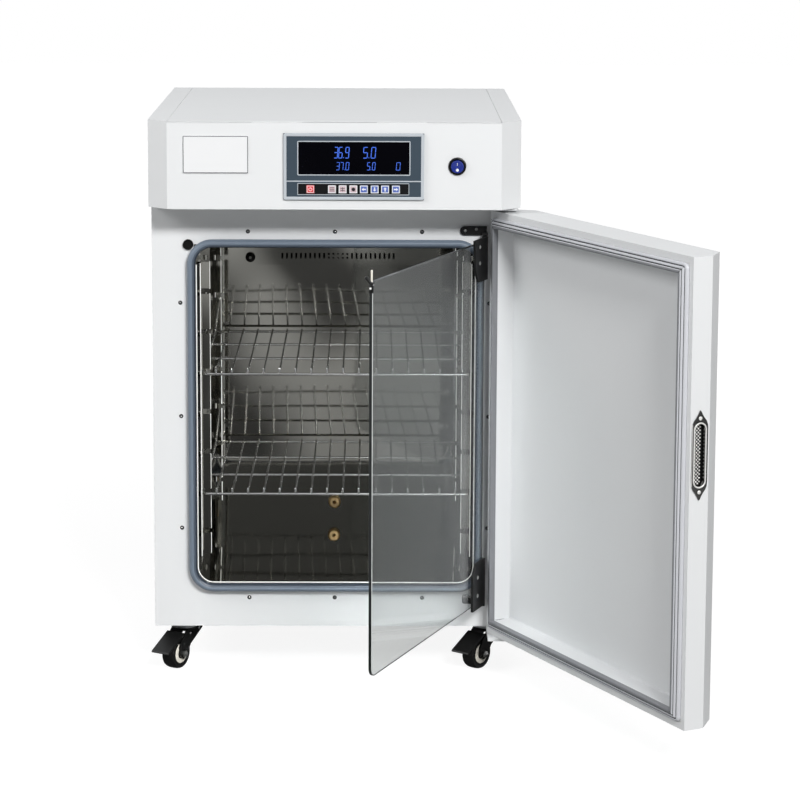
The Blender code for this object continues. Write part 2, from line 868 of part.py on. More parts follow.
def control_key(root, name, x, finish):
    flange = KEY_HALF + 0.0011
    profile = (
        (KEY_HALF - 0.0003, -0.0041),
        (KEY_HALF, -0.0037),
        (KEY_HALF, 0.0),
        (flange, 0.0),
        (flange, 0.0020),
    )
    loops = []
    for half, level in profile:
        outline = [(half, half), (-half, half), (-half, -half), (half, -half)]
        loops.append([put(p, "XZ", level) for p in outline])
    bm = bmesh.new()
    loft(bm, loops)
    solid(bm, name, finish, root, (x, HOOD_FACE, KEY_Z))


def control_keys(root):
    finishes = [red_key()] + 3 * [pink_key()] + 4 * [blue_key()]
    for name, x, finish in zip(KEY_NAMES, KEY_X, finishes):
        control_key(root, name, x, finish)


def control_board(root):
    bm = bmesh.new()
    board = HOOD_FACE + BOARD_DEPTH
    low = (WINDOW_LOW[0] - 0.0055, board, PANEL_LOW[1] + 0.0095)
    high = (WINDOW_HIGH[0] + 0.0050, board + PLATE, PANEL_HIGH[1] - 0.0096)
    box(bm, low, high)
    made = solid(bm, "control_board", circuit_green(), root)
    display = bmesh.new()
    low = (WINDOW_LOW[0] + 0.0025, HOOD_FACE + 0.0028, WINDOW_LOW[1] + 0.0022)
    high = (WINDOW_HIGH[0] - 0.0030, board + 0.0005, WINDOW_HIGH[1] - 0.0019)
    box(display, low, high)
    join(made, display)


def switch_bezel(root):
    bore = ROCKER_RADIUS + 0.0008
    barrel = ROCKER_RADIUS + 0.0020
    profile = (
        (bore, HOOD_FACE - 0.0029),
        (0.0122, HOOD_FACE - 0.0025),
        (0.0125, HOOD_FACE - 0.0020),
        (0.0125, HOOD_FACE - GAP),
        (barrel, HOOD_FACE - GAP),
        (barrel, HOOD_FACE + 0.0176),
        (bore, HOOD_FACE + 0.0176),
    )
    bm = bmesh.new()
    lathe(bm, profile, SWITCH, "XZ", 24, ring=True)
    solid(bm, "switch_bezel", black_plastic(), root, smooth=True)


def switch_rocker(root):
    profile = (
        (0.0078, -0.0070),
        (0.0084, -0.0066),
        (ROCKER_RADIUS, -0.0055),
        (ROCKER_RADIUS, 0.0055),
    )
    bm = bmesh.new()
    lathe(bm, profile, (0.0, 0.0), "XZ", 24)
    place = (SWITCH[0], HOOD_FACE + 0.0016, SWITCH[1])
    rocker = solid(bm, "switch_rocker", blue_rocker(), root, place, smooth=True)
    rocker.rotation_euler = (math.radians(SWITCH_TILT), 0.0, 0.0)


def nameplate(root):
    low = (NAMEPLATE_LEFT, NAMEPLATE_LOW)
    high = (NAMEPLATE_LEFT + NAMEPLATE_WIDTH, NAMEPLATE_LOW + NAMEPLATE_HEIGHT)
    bm = bmesh.new()
    outline = rounded_rect(low, high, 0.0015, 2)
    prism(bm, outline, "XZ", HOOD_FACE - GAP - 0.001, HOOD_FACE - GAP)
    solid(bm, "nameplate", white_label(), root)


def notch_height(k):
    return NOTCH_FIRST + k * NOTCH_PITCH


def rack_post(root, name, side, rear):
    """A folded strip: a flange on the side wall and a notched web that carries the shelves."""
    wall = CHAMBER_WIDTH / 2 - GAP
    edge = CHAMBER_WIDTH / 2 - POST_WIDTH
    deep = RAIL_X + RAIL_RADIUS + 0.0008
    points = [(wall, POST_HIGH), (wall, POST_LOW), (edge, POST_LOW)]
    for k in range(NOTCH_COUNT):
        z = notch_height(k)
        points.append((edge, z - NOTCH_HALF))
        points.append((deep, z - NOTCH_HALF))
        points.append((deep, z + NOTCH_HALF))
        points.append((edge, z + NOTCH_HALF))
    points.append((edge, POST_HIGH))
    start = REAR_POST if rear else FRONT_POST
    web = start if rear else start + POST_DEPTH - PLATE
    bm = bmesh.new()
    prism(bm, [(side * x, z) for x, z in points], "XZ", web, web + PLATE)
    post = solid(bm, name, polished_steel(), root)
    flange = bmesh.new()
    low = min(side * wall, side * (wall - PLATE))
    high = max(side * wall, side * (wall - PLATE))
    box(flange, (low, start, POST_LOW), (high, start + POST_DEPTH, POST_HIGH))
    join(post, flange)


def rack_posts(root):
    rack_post(root, "rack_post_front_left", -1, False)
    rack_post(root, "rack_post_front_right", 1, False)
    rack_post(root, "rack_post_rear_left", -1, True)
    rack_post(root, "rack_post_rear_right", 1, True)


def wire_shelf(root, name, notch):
    height = notch_height(notch) - NOTCH_HALF + RAIL_RADIUS + GAP
    left = (-RAIL_X, SHELF_FRONT, 0.0)
    right = (RAIL_X, SHELF_FRONT, 0.0)
    start = (-RAIL_X, SHELF_END, 0.0)
    end = (RAIL_X, SHELF_END, 0.0)
    path = [start, *bend(left, start, right, 0.010), *bend(right, left, end, 0.010), end]
    bm = bmesh.new()
    rod(bm, path, RAIL_RADIUS, (0, 0, 1))
    shelf = solid(bm, name, polished_steel(), root, (0.0, 0.0, height))
    bars = bmesh.new()
    for y in SHELF_BARS:
        rod(bars, [(-RAIL_X, y, 0.0), (RAIL_X, y, 0.0)], RAIL_RADIUS - 0.0001, (0, 0, 1))
    join(shelf, bars)
    wires = bmesh.new()
    level = RAIL_RADIUS + WIRE_RADIUS - 0.0007
    front = SHELF_FRONT - 0.0045
    rear = SHELF_BARS[-1] + 0.0035
    for k in range(WIRE_COUNT):
        x = WIRE_PITCH * (k - (WIRE_COUNT - 1) / 2)
        path = [(x, rear, level), (x, front, level), (x, front, level + 0.006)]
        rod(wires, path, WIRE_RADIUS, (1, 0, 0))
    join(shelf, wires)


def catch_socket(root):
    profile = (
        (0.0064, -0.0008),
        (0.0064, -0.0030),
        (0.0076, -0.0030),
        (0.0076, -GAP),
        (0.0040, -GAP),
        (0.0040, 0.0060),
    )
    bm = bmesh.new()
    lathe(bm, profile, socket_centre(), "XZ", 20)
    solid(bm, "catch_socket", black_plastic(), root, smooth=True)


def glass_bracket_top(root):
    x, y = GLASS_AXIS
    low = GLASS_HIGH + 0.0056
    half = 0.0065
    outline = [(x + 0.003, low), (x + 0.003, low + 2 * half)]
    for i in range(7):
        a = math.pi * (0.5 + i / 6)
        outline.append((x - 0.029 + half * math.cos(a), low + half + half * math.sin(a)))
    bm = bmesh.new()
    prism(bm, outline, "XZ", -0.0033, -GAP)
    bracket = solid(bm, "glass_bracket_top", black_steel(), root)
    lug = bmesh.new()
    box(lug, (x - 0.004, y - 0.0037, low + 0.0018), (x + 0.004, -0.0025, low + 0.0043))
    join(bracket, lug)
    pin = bmesh.new()
    cylinder(pin, (x, y), GLASS_PIN, "XY", low - 0.010, low + 0.003, 12)
    join(bracket, pin)


def glass_bracket_bottom(root):
    x, y = GLASS_AXIS
    low = GLASS_LOW - 0.0098
    bm = bmesh.new()
    outline = rounded_rect((x - 0.0315, low), (x + 0.003, low + 0.013), 0.003, 2)
    prism(bm, outline, "XZ", -0.0033, -GAP)
    bracket = solid(bm, "glass_bracket_bottom", black_steel(), root)
    lug = bmesh.new()
    box(lug, (x - 0.004, y - 0.0037, low + 0.0012), (x + 0.004, -0.0025, low + 0.0037))
    join(bracket, lug)
    pin = bmesh.new()
    cylinder(pin, (x, y), GLASS_PIN, "XY", low + 0.0025, low + 0.0155, 12)
    join(bracket, pin)


def glass_pane(axis, back):
    start = GLASS_AXIS[0] - CLAMP_START - 0.003
    bm = bmesh.new()
    outline = rounded_rect((GLASS_EDGE, GLASS_LOW), (start, GLASS_HIGH), GLASS_RADIUS, 4)
    prism(bm, outline, "XZ", GLASS_INNER - GLASS_THICK, GLASS_INNER)
    solid(bm, "glass_pane", smoked_glass(), axis, back)


def glass_clamp(axis, back, name, outline, barrel_low, barrel_high):
    """A cheek screwed to the pane's outer face, with a web round its edge and a pivot barrel."""
    x, y = GLASS_AXIS
    bm = bmesh.new()
    prism(bm, [(x - u, z) for u, z in outline], "XZ", CLAMP_OUTER, CLAMP_INNER)
    clamp = solid(bm, name, black_steel(), axis, back)
    low = min(z for _, z in outline)
    high = max(z for _, z in outline)
    web = bmesh.new()
    far = x - CLAMP_START - 0.003 + GAP
    box(web, (far, CLAMP_OUTER, low), (x - CLAMP_START, GLASS_INNER - 0.0002, high))
    join(clamp, web)
    barrel = bmesh.new()
    cylinder(barrel, (x, y), BARREL_RADIUS, "XY", barrel_low, barrel_high, 16)
    join(clamp, barrel)
    hole = bmesh.new()
    cylinder(hole, (x, y), GLASS_PIN + GAP, "XY", barrel_low - 0.01, barrel_high + 0.01, 12)
    cut(clamp, hole)


def glass_clamps(axis, back):
    start = CLAMP_START
    high = GLASS_HIGH + 0.0066
    top = [
        (start, high - 0.061),
        (0.040, high - 0.061),
        (0.0505, high - 0.045),
        (0.055, high - 0.0025),
        (0.055, high),
        (start, high),
    ]
    glass_clamp(axis, back, "glass_clamp_top", top, high - 0.015, high)
    low = GLASS_LOW - 0.0053
    bottom = [
        (start, low),
        (0.053, low),
        (0.053, low + 0.052),
        (0.040, low + 0.069),
        (start, low + 0.069),
    ]
    glass_clamp(axis, back, "glass_clamp_bottom", bottom, low, low + 0.015)


def glass_catch(axis, back):
    edge = GLASS_EDGE - GAP
    outer = edge - 0.0033
    low = GLASS_HIGH - 0.0169
    high = GLASS_HIGH - 0.0039
    bm = bmesh.new()
    box(bm, (outer, CLAMP_OUTER, low), (edge + 0.0070, CLAMP_INNER, high))
    catch = solid(bm, "glass_catch", black_steel(), axis, back)
    wrap = bmesh.new()
    box(wrap, (outer, CLAMP_OUTER, low), (edge, GLASS_INNER - 0.0002, high))
    join(catch, wrap)
    nose = bmesh.new()
    cylinder(nose, (edge - 0.0016, GLASS_HIGH - CATCH_RISE), 0.0012, "XZ", GLASS_INNER - 0.002, -0.0015, 10)
    join(catch, nose)
    pull = bmesh.new()
    middle = (outer + 0.00165, (CLAMP_OUTER + GLASS_INNER) / 2)
    cylinder(pull, middle, 0.0011, "XY", high - 0.002, GLASS_HIGH + CATCH_PULL, 10)
    join(catch, pull)


def door_plan():
    return chamfered_plan(DOOR_WIDTH / 2, DOOR_INNER, DOOR_FACE)


def hinge_holes(bm, radius):
    cylinder(bm, DOOR_AXIS, radius, "XY", DOOR_LOW - 0.01, DOOR_LOW + 0.0161, 16)
    cylinder(bm, DOOR_AXIS, radius, "XY", DOOR_HIGH - 0.0156, DOOR_HIGH + 0.01, 16)


def handle_centre():
    return (DOOR_INNER - HANDLE_FROM_FACE, HANDLE_Z)


def door_shell(axis, back):
    half = DOOR_WIDTH / 2
    plan = door_plan()
    bm = bmesh.new()
    prism(bm, plan, "XY", DOOR_LOW, DOOR_HIGH)
    shell = solid(bm, "door_shell", white_paint(), axis, back)
    hollow = bmesh.new()
    prism(hollow, inset(plan, SHEET), "XY", DOOR_LOW + SHEET, DOOR_HIGH - SHEET)
    cut(shell, hollow)
    opening = bmesh.new()
    reach = half - DOOR_FLANGE
    low = (-reach, DOOR_INNER - 0.004, DOOR_LOW + DOOR_FLANGE)
    box(opening, low, (reach, DOOR_INNER + 0.004, DOOR_HIGH - DOOR_FLANGE))
    cut(shell, opening)
    holes = bmesh.new()
    hinge_holes(holes, 0.0045)
    slot = stadium(handle_centre(), CUP_LENGTH + 2 * GAP, CUP_WIDTH + 2 * GAP)
    prism(holes, slot, "YZ", -half - 0.004, -half + 0.004)
    cut(shell, holes)


def door_liner(axis, back):
    edge = DOOR_WIDTH / 2 - DOOR_FLANGE - GAP
    pan = DOOR_WIDTH / 2 - DOOR_REACH
    outer = pan + SHEET
    flange_low = DOOR_LOW + DOOR_FLANGE + GAP
    flange_high = DOOR_HIGH - DOOR_FLANGE - GAP
    pan_low = DOOR_LOW + DOOR_REACH
    pan_high = DOOR_HIGH - DOOR_REACH
    floor = DOOR_INNER - DOOR_PAN
    profile = (
        (pan - 0.003, pan_low + 0.003, pan_high - 0.003, floor),
        (pan - 0.001, pan_low + 0.001, pan_high - 0.001, floor + 0.002),
        (pan, pan_low, pan_high, DOOR_INNER),
        (edge, flange_low, flange_high, DOOR_INNER),
        (edge, flange_low, flange_high, DOOR_INNER - SHEET),
        (outer, pan_low - SHEET, pan_high + SHEET, DOOR_INNER - SHEET),
        (outer, pan_low - SHEET, pan_high + SHEET, floor - SHEET),
    )
    loops = []
    for half, low, high, level in profile:
        outline = rounded_rect((-half, low), (half, high), 0.001, 1)
        loops.append([put(p, "XZ", level) for p in outline])
    bm = bmesh.new()
    loft(bm, loops)
    solid(bm, "door_liner", liner_paint(), axis, back)


def door_insulation(axis, back):
    inner = inset(door_plan(), SHEET + GAP)
    bm = bmesh.new()
    prism(bm, inner, "XY", DOOR_LOW + SHEET + GAP, DOOR_HIGH - SHEET - GAP)
    block = solid(bm, "door_insulation", foam(), axis, back)
    pocket = bmesh.new()
    reach = DOOR_WIDTH / 2 - DOOR_REACH + SHEET + GAP
    grow = SHEET + GAP
    low = (-reach, DOOR_INNER - DOOR_PAN - grow, DOOR_LOW + DOOR_REACH - grow)
    box(pocket, low, (reach, DOOR_INNER + 0.004, DOOR_HIGH - DOOR_REACH + grow))
    face = -DOOR_WIDTH / 2
    y, z = handle_centre()
    low = (face - 0.004, y - CUP_WIDTH / 2 - 0.001, z - CUP_LENGTH / 2 - 0.001)
    high = (face + CUP_DEPTH + 0.001, y + CUP_WIDTH / 2 + 0.001, z + CUP_LENGTH / 2 + 0.001)
    box(pocket, low, high)
    hinge_holes(pocket, 0.0055)
    cut(block, pocket)


def door_gasket(axis, back):
    """Profile points are (distance in from the outer edge, height)."""
    profile = (
        (0.0000, 0.0),
        (0.0000, 0.0014),
        (0.0012, 0.0040),
        (0.0032, 0.0048),
        (0.0044, 0.0034),
        (0.0056, 0.0062),
        (0.0076, 0.0070),
        (0.0088, 0.0056),
        (0.0100, 0.0082),
        (0.0134, 0.0087),
        (0.0140, 0.0078),
        (0.0140, 0.0),
    )
    half = DOOR_WIDTH / 2 - DOOR_FLANGE
    low = DOOR_LOW + DOOR_FLANGE
    high = DOOR_HIGH - DOOR_FLANGE
    loops = []
    for w, h in profile:
        radius = max(0.008 - w, 0.0008)
        outline = rounded_rect((-half + w, low + w), (half - w, high - w), radius, 3)
        loops.append([put(p, "XZ", DOOR_INNER + GAP + h) for p in outline])
    bm = bmesh.new()
    loft(bm, loops, ring=True)
    solid(bm, "door_gasket", gasket_rubber(), axis, back, smooth=True)


def handle_outline():
    """A plate with ogee ends that come to a point."""
    half = HANDLE_WIDTH / 2
    quarter = (
        (half, 0.034),
        (half - 0.0005, 0.040),
        (half - 0.0025, 0.045),
        (half - 0.0060, 0.049),
        (half - 0.0085, 0.053),
        (half - 0.0108, 0.0575),
        (0.0, HANDLE_LENGTH / 2),
    )
    y, z = handle_centre()
    right = [(y + a, z + b) for a, b in quarter]
    left = [(y - a, z + b) for a, b in reversed(quarter[:-1])]
    right_low = [(y - a, z - b) for a, b in quarter]
    left_low = [(y + a, z - b) for a, b in reversed(quarter[:-1])]
    return right + left + right_low + left_low


def handle_plate(axis, back):
    face = -DOOR_WIDTH / 2
    front = face - GAP - PLATE
    bm = bmesh.new()
    prism(bm, handle_outline(), "YZ", front, face - GAP)
    plate = solid(bm, "handle_plate", polished_steel(), axis, back, smooth=True)
    cup = bmesh.new()
    deep = face + CUP_DEPTH
    prism(cup, stadium(handle_centre(), CUP_LENGTH, CUP_WIDTH), "YZ", front + 0.0005, deep)
    join(plate, cup)
    hollow = bmesh.new()
    wall = 2 * SHEET
    mouth = stadium(handle_centre(), CUP_LENGTH - wall, CUP_WIDTH - wall)
    prism(hollow, mouth, "YZ", front - 0.01, deep - SHEET)
    cut(plate, hollow)


def door_hinge_top(root):
    x, y = DOOR_AXIS
    bm = bmesh.new()
    box(bm, (x - 0.0216, y - 0.020, DOOR_HIGH + 0.003), (x + 0.0144, -0.004, BODY_TOP))
    hinge = solid(bm, "door_hinge_top", white_paint(), root)
    pin = bmesh.new()
    cylinder(pin, DOOR_AXIS, 0.004, "XY", DOOR_HIGH - 0.0136, DOOR_HIGH + 0.004, 16)
    join(hinge, pin)


def door_hinge_bottom(root):
    x, y = DOOR_AXIS
    low = DOOR_LOW - HINGE_SEAT
    top = DOOR_LOW - 0.0007
    left, right = x - 0.0216, x + 0.0144
    rear = CASTER_INSET - CASTER_PLATE / 2 - 0.0005
    bm = bmesh.new()
    box(bm, (left, y - 0.020, low), (right, rear, top))
    hinge = solid(bm, "door_hinge_bottom", white_paint(), root)
    joined = bmesh.new()
    box(joined, (left, 0.0005, top - 0.001), (right, rear, BODY_BOTTOM - GAP))
    cylinder(joined, DOOR_AXIS, 0.004, "XY", top - 0.001, DOOR_LOW + 0.0141, 16)
    join(hinge, joined)


def caster_fork(axis, name, braked):
    outline = [
        (-0.026, FORK_TOP),
        (0.012, FORK_TOP),
        (0.024, 0.046),
        (0.031, 0.034),
        (0.030, 0.021),
        (TRAIL, 0.0145),
        (0.0135, 0.021),
        (0.004, 0.034),
        (-0.026, 0.052),
    ]
    bm = bmesh.new()
    prism(bm, outline, "XZ", -FORK_OUTSIDE, FORK_OUTSIDE)
    fork = solid(bm, name, black_steel(), axis)
    slot = bmesh.new()
    low = (-0.04, -FORK_INSIDE, -0.01)
    box(slot, low, (0.05, FORK_INSIDE, FORK_TOP - 0.003))
    cut(fork, slot)
    post = (
        (0.0165, FORK_TOP - 0.002),
        (0.0195, FORK_TOP + 0.001),
        (0.0195, CASTER_PLATE_LOW - GAP),
        (0.005, CASTER_PLATE_LOW - GAP),
        (0.005, CASTER_PLATE_LOW + 0.0062),
        (0.008, CASTER_PLATE_LOW + 0.0062),
        (0.008, CASTER_PLATE_LOW + 0.0085),
    )
    stem = bmesh.new()
    lathe(stem, post, (0.0, 0.0), "XY", 20)
    join(fork, stem)
    axle = bmesh.new()
    cylinder(axle, (TRAIL, WHEEL_RADIUS), AXLE_RADIUS, "XZ", -0.0165, 0.0165, 12)
    join(fork, axle)
    if braked:
        holes = bmesh.new()
        cylinder(holes, PEDAL_PIVOT, PEDAL_PIN + GAP, "XZ", -0.02, 0.02, 12)
        cut(fork, holes)


def caster_wheel(axis, name):
    sides = 20
    grow = 1.0 / math.cos(math.pi / sides)
    w = WHEEL_HALF
    profile = (
        (AXLE_RADIUS + GAP, -w - 0.001),
        (0.0070, -w - 0.001),
        (0.0080, -w + 0.001),
        (0.0160, -w),
        (0.0215 * grow, -w),
        (WHEEL_RADIUS * grow, -w + 0.002),
        (WHEEL_RADIUS * grow, w - 0.002),
        (0.0215 * grow, w),
        (0.0160, w),
        (0.0080, w - 0.001),
        (0.0070, w + 0.001),
        (AXLE_RADIUS + GAP, w + 0.001),
    )
    bm = bmesh.new()
    lathe(bm, profile, (0.0, 0.0), "XZ", sides, ring=True, turn=math.pi / sides)
    solid(bm, name, wheel_rubber(), axis, smooth=True)


def brake_pedal(axis, name):
    """Profiles are (reach from the swivel axis, height), carried on a pin above the wheel."""
    px, pz = PEDAL_PIVOT
    neck = [
        (px - 0.0024, pz + 0.0012),
        (px - 0.0010, pz - 0.0024),
        (px + 0.0014, pz - 0.0022),
        (0.030, 0.0472),
        (0.030, 0.0490),
        (0.022, 0.0528),
        (px + 0.001, pz + 0.0030),
    ]
    tread = [
        (0.0215, 0.0515),
        (0.0615, 0.0300),
        (0.0630, 0.0312),
        (0.0620, 0.0332),
        (0.0225, 0.0541),
    ]
    shift = [(x - px, z - pz) for x, z in neck]
    bm = bmesh.new()
    prism(bm, shift, "XZ", -0.0110, 0.0110)
    place = (px, 0.0, pz)
    pedal = solid(bm, name, black_steel(), axis, place)
    plate = bmesh.new()
    prism(plate, [(x - px, z - pz) for x, z in tread], "XZ", -0.0150, 0.0150)
    join(pedal, plate)
    pin = bmesh.new()
    cylinder(pin, (0.0, 0.0), PEDAL_PIN, "XZ", -0.0138, 0.0138, 12)
    join(pedal, pin)


def casters(root):
    for place, side, rear, turn in CASTERS:
        x, y = caster_place(side, rear)
        swivel = empty("swivel_" + place, (x, y, 0.0), root, turn)
        caster_fork(swivel, "caster_fork_" + place, not rear)
        hub = empty("hub_" + place, (TRAIL, 0.0, WHEEL_RADIUS), swivel)
        caster_wheel(hub, "caster_wheel_" + place)
        if not rear:
            brake_pedal(swivel, "brake_pedal_" + place)


def outer_door(root):
    axis = empty("door_axis", (*DOOR_AXIS, 0.0), root, DOOR_OPEN)
    back = (-DOOR_AXIS[0], -DOOR_AXIS[1], 0.0)
    door_shell(axis, back)
    door_liner(axis, back)
    door_insulation(axis, back)
    door_gasket(axis, back)
    handle_plate(axis, back)


def glass_door(root):
    axis = empty("glass_axis", (*GLASS_AXIS, 0.0), root, GLASS_OPEN)
    back = (-GLASS_AXIS[0], -GLASS_AXIS[1], 0.0)
    glass_pane(axis, back)
    glass_clamps(axis, back)
    glass_catch(axis, back)


def centre_on_origin(root):
    """Moves the assembly so that its bounding box is centred over the origin."""
    bpy.context.view_layer.update()
    graph = bpy.context.evaluated_depsgraph_get()
    low = Vector((1e9, 1e9, 1e9))
    high = -low
    for thing in bpy.context.view_layer.objects:
        if thing.type != "MESH" or thing.hide_render:
            continue
        seen = thing.evaluated_get(graph)
        for vertex in seen.data.vertices:
            point = seen.matrix_world @ vertex.co
            low = Vector(map(min, low, point))
            high = Vector(map(max, high, point))
    root.location = (-(low.x + high.x) / 2, -(low.y + high.y) / 2, 0.0)


def build():
    clear_scene()
    root = empty("incubator", (0.0, 0.0, 0.0), None)
    cabinet_shell(root)
    front_frame(root)
    base_pan(root)
    back_panel(root)
    hood_shell(root)
    hood_lid(root)
    hood_deck(root)
    chamber_liner(root)
    chamber_insulation(root)
    chamber_seal(root)
    duct_cover(root)
    fan_motor(root)
    fan_impeller(root)
    heating_element(root)
    gas_fitting(root)
    cable_gland(root)
    panel_bezel(root)
    display_window(root)
    control_keys(root)
    control_board(root)
    switch_bezel(root)
    switch_rocker(root)
    nameplate(root)
    rack_posts(root)
    wire_shelf(root, "upper_shelf", 4)
    wire_shelf(root, "lower_shelf", 1)
    catch_socket(root)
    glass_bracket_top(root)
    glass_bracket_bottom(root)
    door_hinge_top(root)
    door_hinge_bottom(root)
    glass_door(root)
    outer_door(root)
    casters(root)
    centre_on_origin(root)


build()
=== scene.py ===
import json
import math

import bmesh
import bpy
import numpy as np
from mathutils import Matrix, Vector


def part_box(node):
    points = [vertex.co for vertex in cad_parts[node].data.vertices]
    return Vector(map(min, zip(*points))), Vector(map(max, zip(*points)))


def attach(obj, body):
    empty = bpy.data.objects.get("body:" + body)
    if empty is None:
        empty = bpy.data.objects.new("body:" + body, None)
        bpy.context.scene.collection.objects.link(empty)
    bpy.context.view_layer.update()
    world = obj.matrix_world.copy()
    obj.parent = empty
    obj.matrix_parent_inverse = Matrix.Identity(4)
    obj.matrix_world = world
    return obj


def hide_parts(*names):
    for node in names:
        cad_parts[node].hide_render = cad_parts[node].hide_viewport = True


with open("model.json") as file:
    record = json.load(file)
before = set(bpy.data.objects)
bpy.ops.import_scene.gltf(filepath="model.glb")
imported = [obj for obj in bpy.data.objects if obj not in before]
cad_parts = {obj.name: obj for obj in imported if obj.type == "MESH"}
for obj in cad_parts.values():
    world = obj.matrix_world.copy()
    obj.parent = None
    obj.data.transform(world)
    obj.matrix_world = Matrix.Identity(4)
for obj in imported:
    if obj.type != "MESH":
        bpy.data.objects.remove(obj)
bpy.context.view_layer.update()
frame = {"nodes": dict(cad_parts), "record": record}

# The cabinet's own frame: X from its middle, Y from the front frame's face, Z from the floor
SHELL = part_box("cabinet_shell")
ORIGIN = np.array([(SHELL[0].x + SHELL[1].x) / 2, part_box("front_frame")[0].y, 0.0])

# Sizes in metres. A rectangle is (left, right, low, high).
HOOD_FACE = -0.0676
DOOR_AXIS = (0.243, -0.0247)
DOOR_OPEN = 116.8
DOOR_HALF = 0.26225
DOOR_LOW, DOOR_HIGH = 0.0639, 0.6816
DOOR_INNER = -0.0097
DOOR_RIM = 0.009
DOOR_PAN_EDGE = 0.023
GLASS_AXIS = (0.2135, -0.0178)
GLASS_OPEN = 67.68
PANE = (-0.2109, 0.2075, 0.1133, 0.6384)
PANE_BACK = -0.0148
SEAL_LIMITS = (-0.2107, 0.2107, 0.1223, 0.6378)
SEAL_BACK = -0.0074
PANEL = (-0.0710, 0.1252, 0.7025, 0.7956)
PANEL_FACE = -0.0706
WINDOW = (-0.0502, 0.1047, 0.7381, 0.7836)
DIGIT_FACE = -0.07042
KEY_X = (-0.0334, -0.0033, 0.0116, 0.0266, 0.0413, 0.0563, 0.0709, 0.0860)
KEY_Z = 0.7174
KEY_HALF = 0.0055
KEY_FACE = -0.0717
KEY_FILM = (-0.0507, 0.1038, 0.7102, 0.7249)
NAMEPLATE = (-0.2116, -0.1200, 0.7390, 0.7917)
NAMEPLATE_FACE = -0.0689
SWITCH = (0.1717, 0.7498)
PULL = (-0.21285, -0.01915, 0.6382)
SHELVES = {"upper_shelf": 0.4378, "lower_shelf": 0.2611}
RAIL_X = 0.193
NOTCH_LOW, NOTCH_PITCH, NOTCHES = 0.2039, 0.0589, 7
LIP_X, LIP_Y, LIP_LOW, LIP_HIGH = 0.1978, -0.0035, 0.1352, 0.600
HANDLE = (-0.0237, 0.4262)
TRAIL = 0.022
WHEEL_RADIUS = 0.023
WHEEL_HALF = 0.0095
CASTERS = {
    "front_left": (-0.2215, 0.040, 239.0),
    "front_right": (0.2215, 0.040, 231.0),
    "rear_left": (-0.2215, 0.465, 70.0),
    "rear_right": (0.2215, 0.465, 110.0),
}
KEY_NAMES = ("power", "menu", "mode", "set", "left", "down", "up", "right")
X, Y, Z = np.eye(3)

# The camera: angles in radians, place from the cabinet's origin, focal length in pixels of its 800 wide frame
CAMERA_YAW, CAMERA_PITCH, CAMERA_ROLL = -0.0096, 0.1568, 0.0043
CAMERA_PLACE = (0.0548, -3.9866, 1.1802)
CAMERA_FOCAL = 2820.93
SENSOR = 36.0


# ---- Camera and light ----

def photo_camera():
    """Right, up and forward follow from yaw about Z, pitch down and roll about the view."""
    yaw, pitch, roll = CAMERA_YAW, CAMERA_PITCH, CAMERA_ROLL
    right = np.array([math.cos(yaw), math.sin(yaw), 0.0])
    level = np.array([-math.sin(yaw), math.cos(yaw), 0.0])
    forward = level * math.cos(pitch) - Z * math.sin(pitch)
    up = level * math.sin(pitch) + Z * math.cos(pitch)
    data = bpy.data.cameras.new("photo_camera")
    data.sensor_width = SENSOR
    data.lens = CAMERA_FOCAL / 800.0 * SENSOR
    data.shift_y = -0.125
    data.clip_end = 60.0
    camera = bpy.data.objects.new("photo_camera", data)
    bpy.context.scene.collection.objects.link(camera)
    pose = np.eye(4)
    pose[:3, 0] = right * math.cos(roll) + up * math.sin(roll)
    pose[:3, 1] = up * math.cos(roll) - right * math.sin(roll)
    pose[:3, 2] = -forward
    pose[:3, 3] = ORIGIN + np.array(CAMERA_PLACE)
    camera.matrix_world = Matrix(pose.tolist())
    bpy.context.scene.camera = camera


def studio_lamp(name, towards, distance, size, power, aim=(0.0, 0.0, 0.42)):
    """An area lamp at aim + distance * towards, facing aim."""
    data = bpy.data.lights.new(name, "AREA")
    data.shape = "RECTANGLE"
    data.size, data.size_y = size
    data.energy = power
    lamp = bpy.data.objects.new(name, data)
    bpy.context.scene.collection.objects.link(lamp)
    way = Vector(towards).normalized()
    lamp.location = Vector(aim) + distance * way
    lamp.rotation_euler = way.to_track_quat("Z", "Y").to_euler()
    lamp.visible_camera = False


# ---- Nodes ----

def node(tree, kind, inputs=(), **settings):
    """A shader node with its settings made, and each input set to a value or linked to an output."""
    made = tree.nodes.new("ShaderNode" + kind)
    for label, value in settings.items():
        setattr(made, label, value)
    for socket, value in dict(inputs).items():
        if isinstance(value, bpy.types.NodeSocket):
            tree.links.new(value, made.inputs[socket])
        else:
            made.inputs[socket].default_value = value
    return made


def maths(tree, operation, *values):
    return node(tree, "Math", enumerate(values), operation=operation).outputs[0]


def noise(tree, vector, scale, detail):
    return node(tree, "TexNoise", {"Vector": vector, "Scale": scale, "Detail": detail}).outputs["Fac"]


def ranged(tree, value, before, after, **settings):
    """The value carried from the limits before to the limits after."""
    limits = {"From Min": before[0], "From Max": before[1], "To Min": after[0], "To Max": after[1]}
    return node(tree, "MapRange", {"Value": value, **limits}, **settings).outputs[0]


def colour_mix(tree, factor, first, second):
    return node(tree, "Mix", {0: factor, 6: first, 7: second}, data_type="RGBA").outputs[2]


def mirror_mix(tree, first, second):
    """The first value, or the second for a ray that a mirror has turned."""
    turned = maths(tree, "MINIMUM", node(tree, "LightPath").outputs["Glossy Depth"], 1.0)
    return node(tree, "Mix", {0: turned, 2: first, 3: second}).outputs[0]


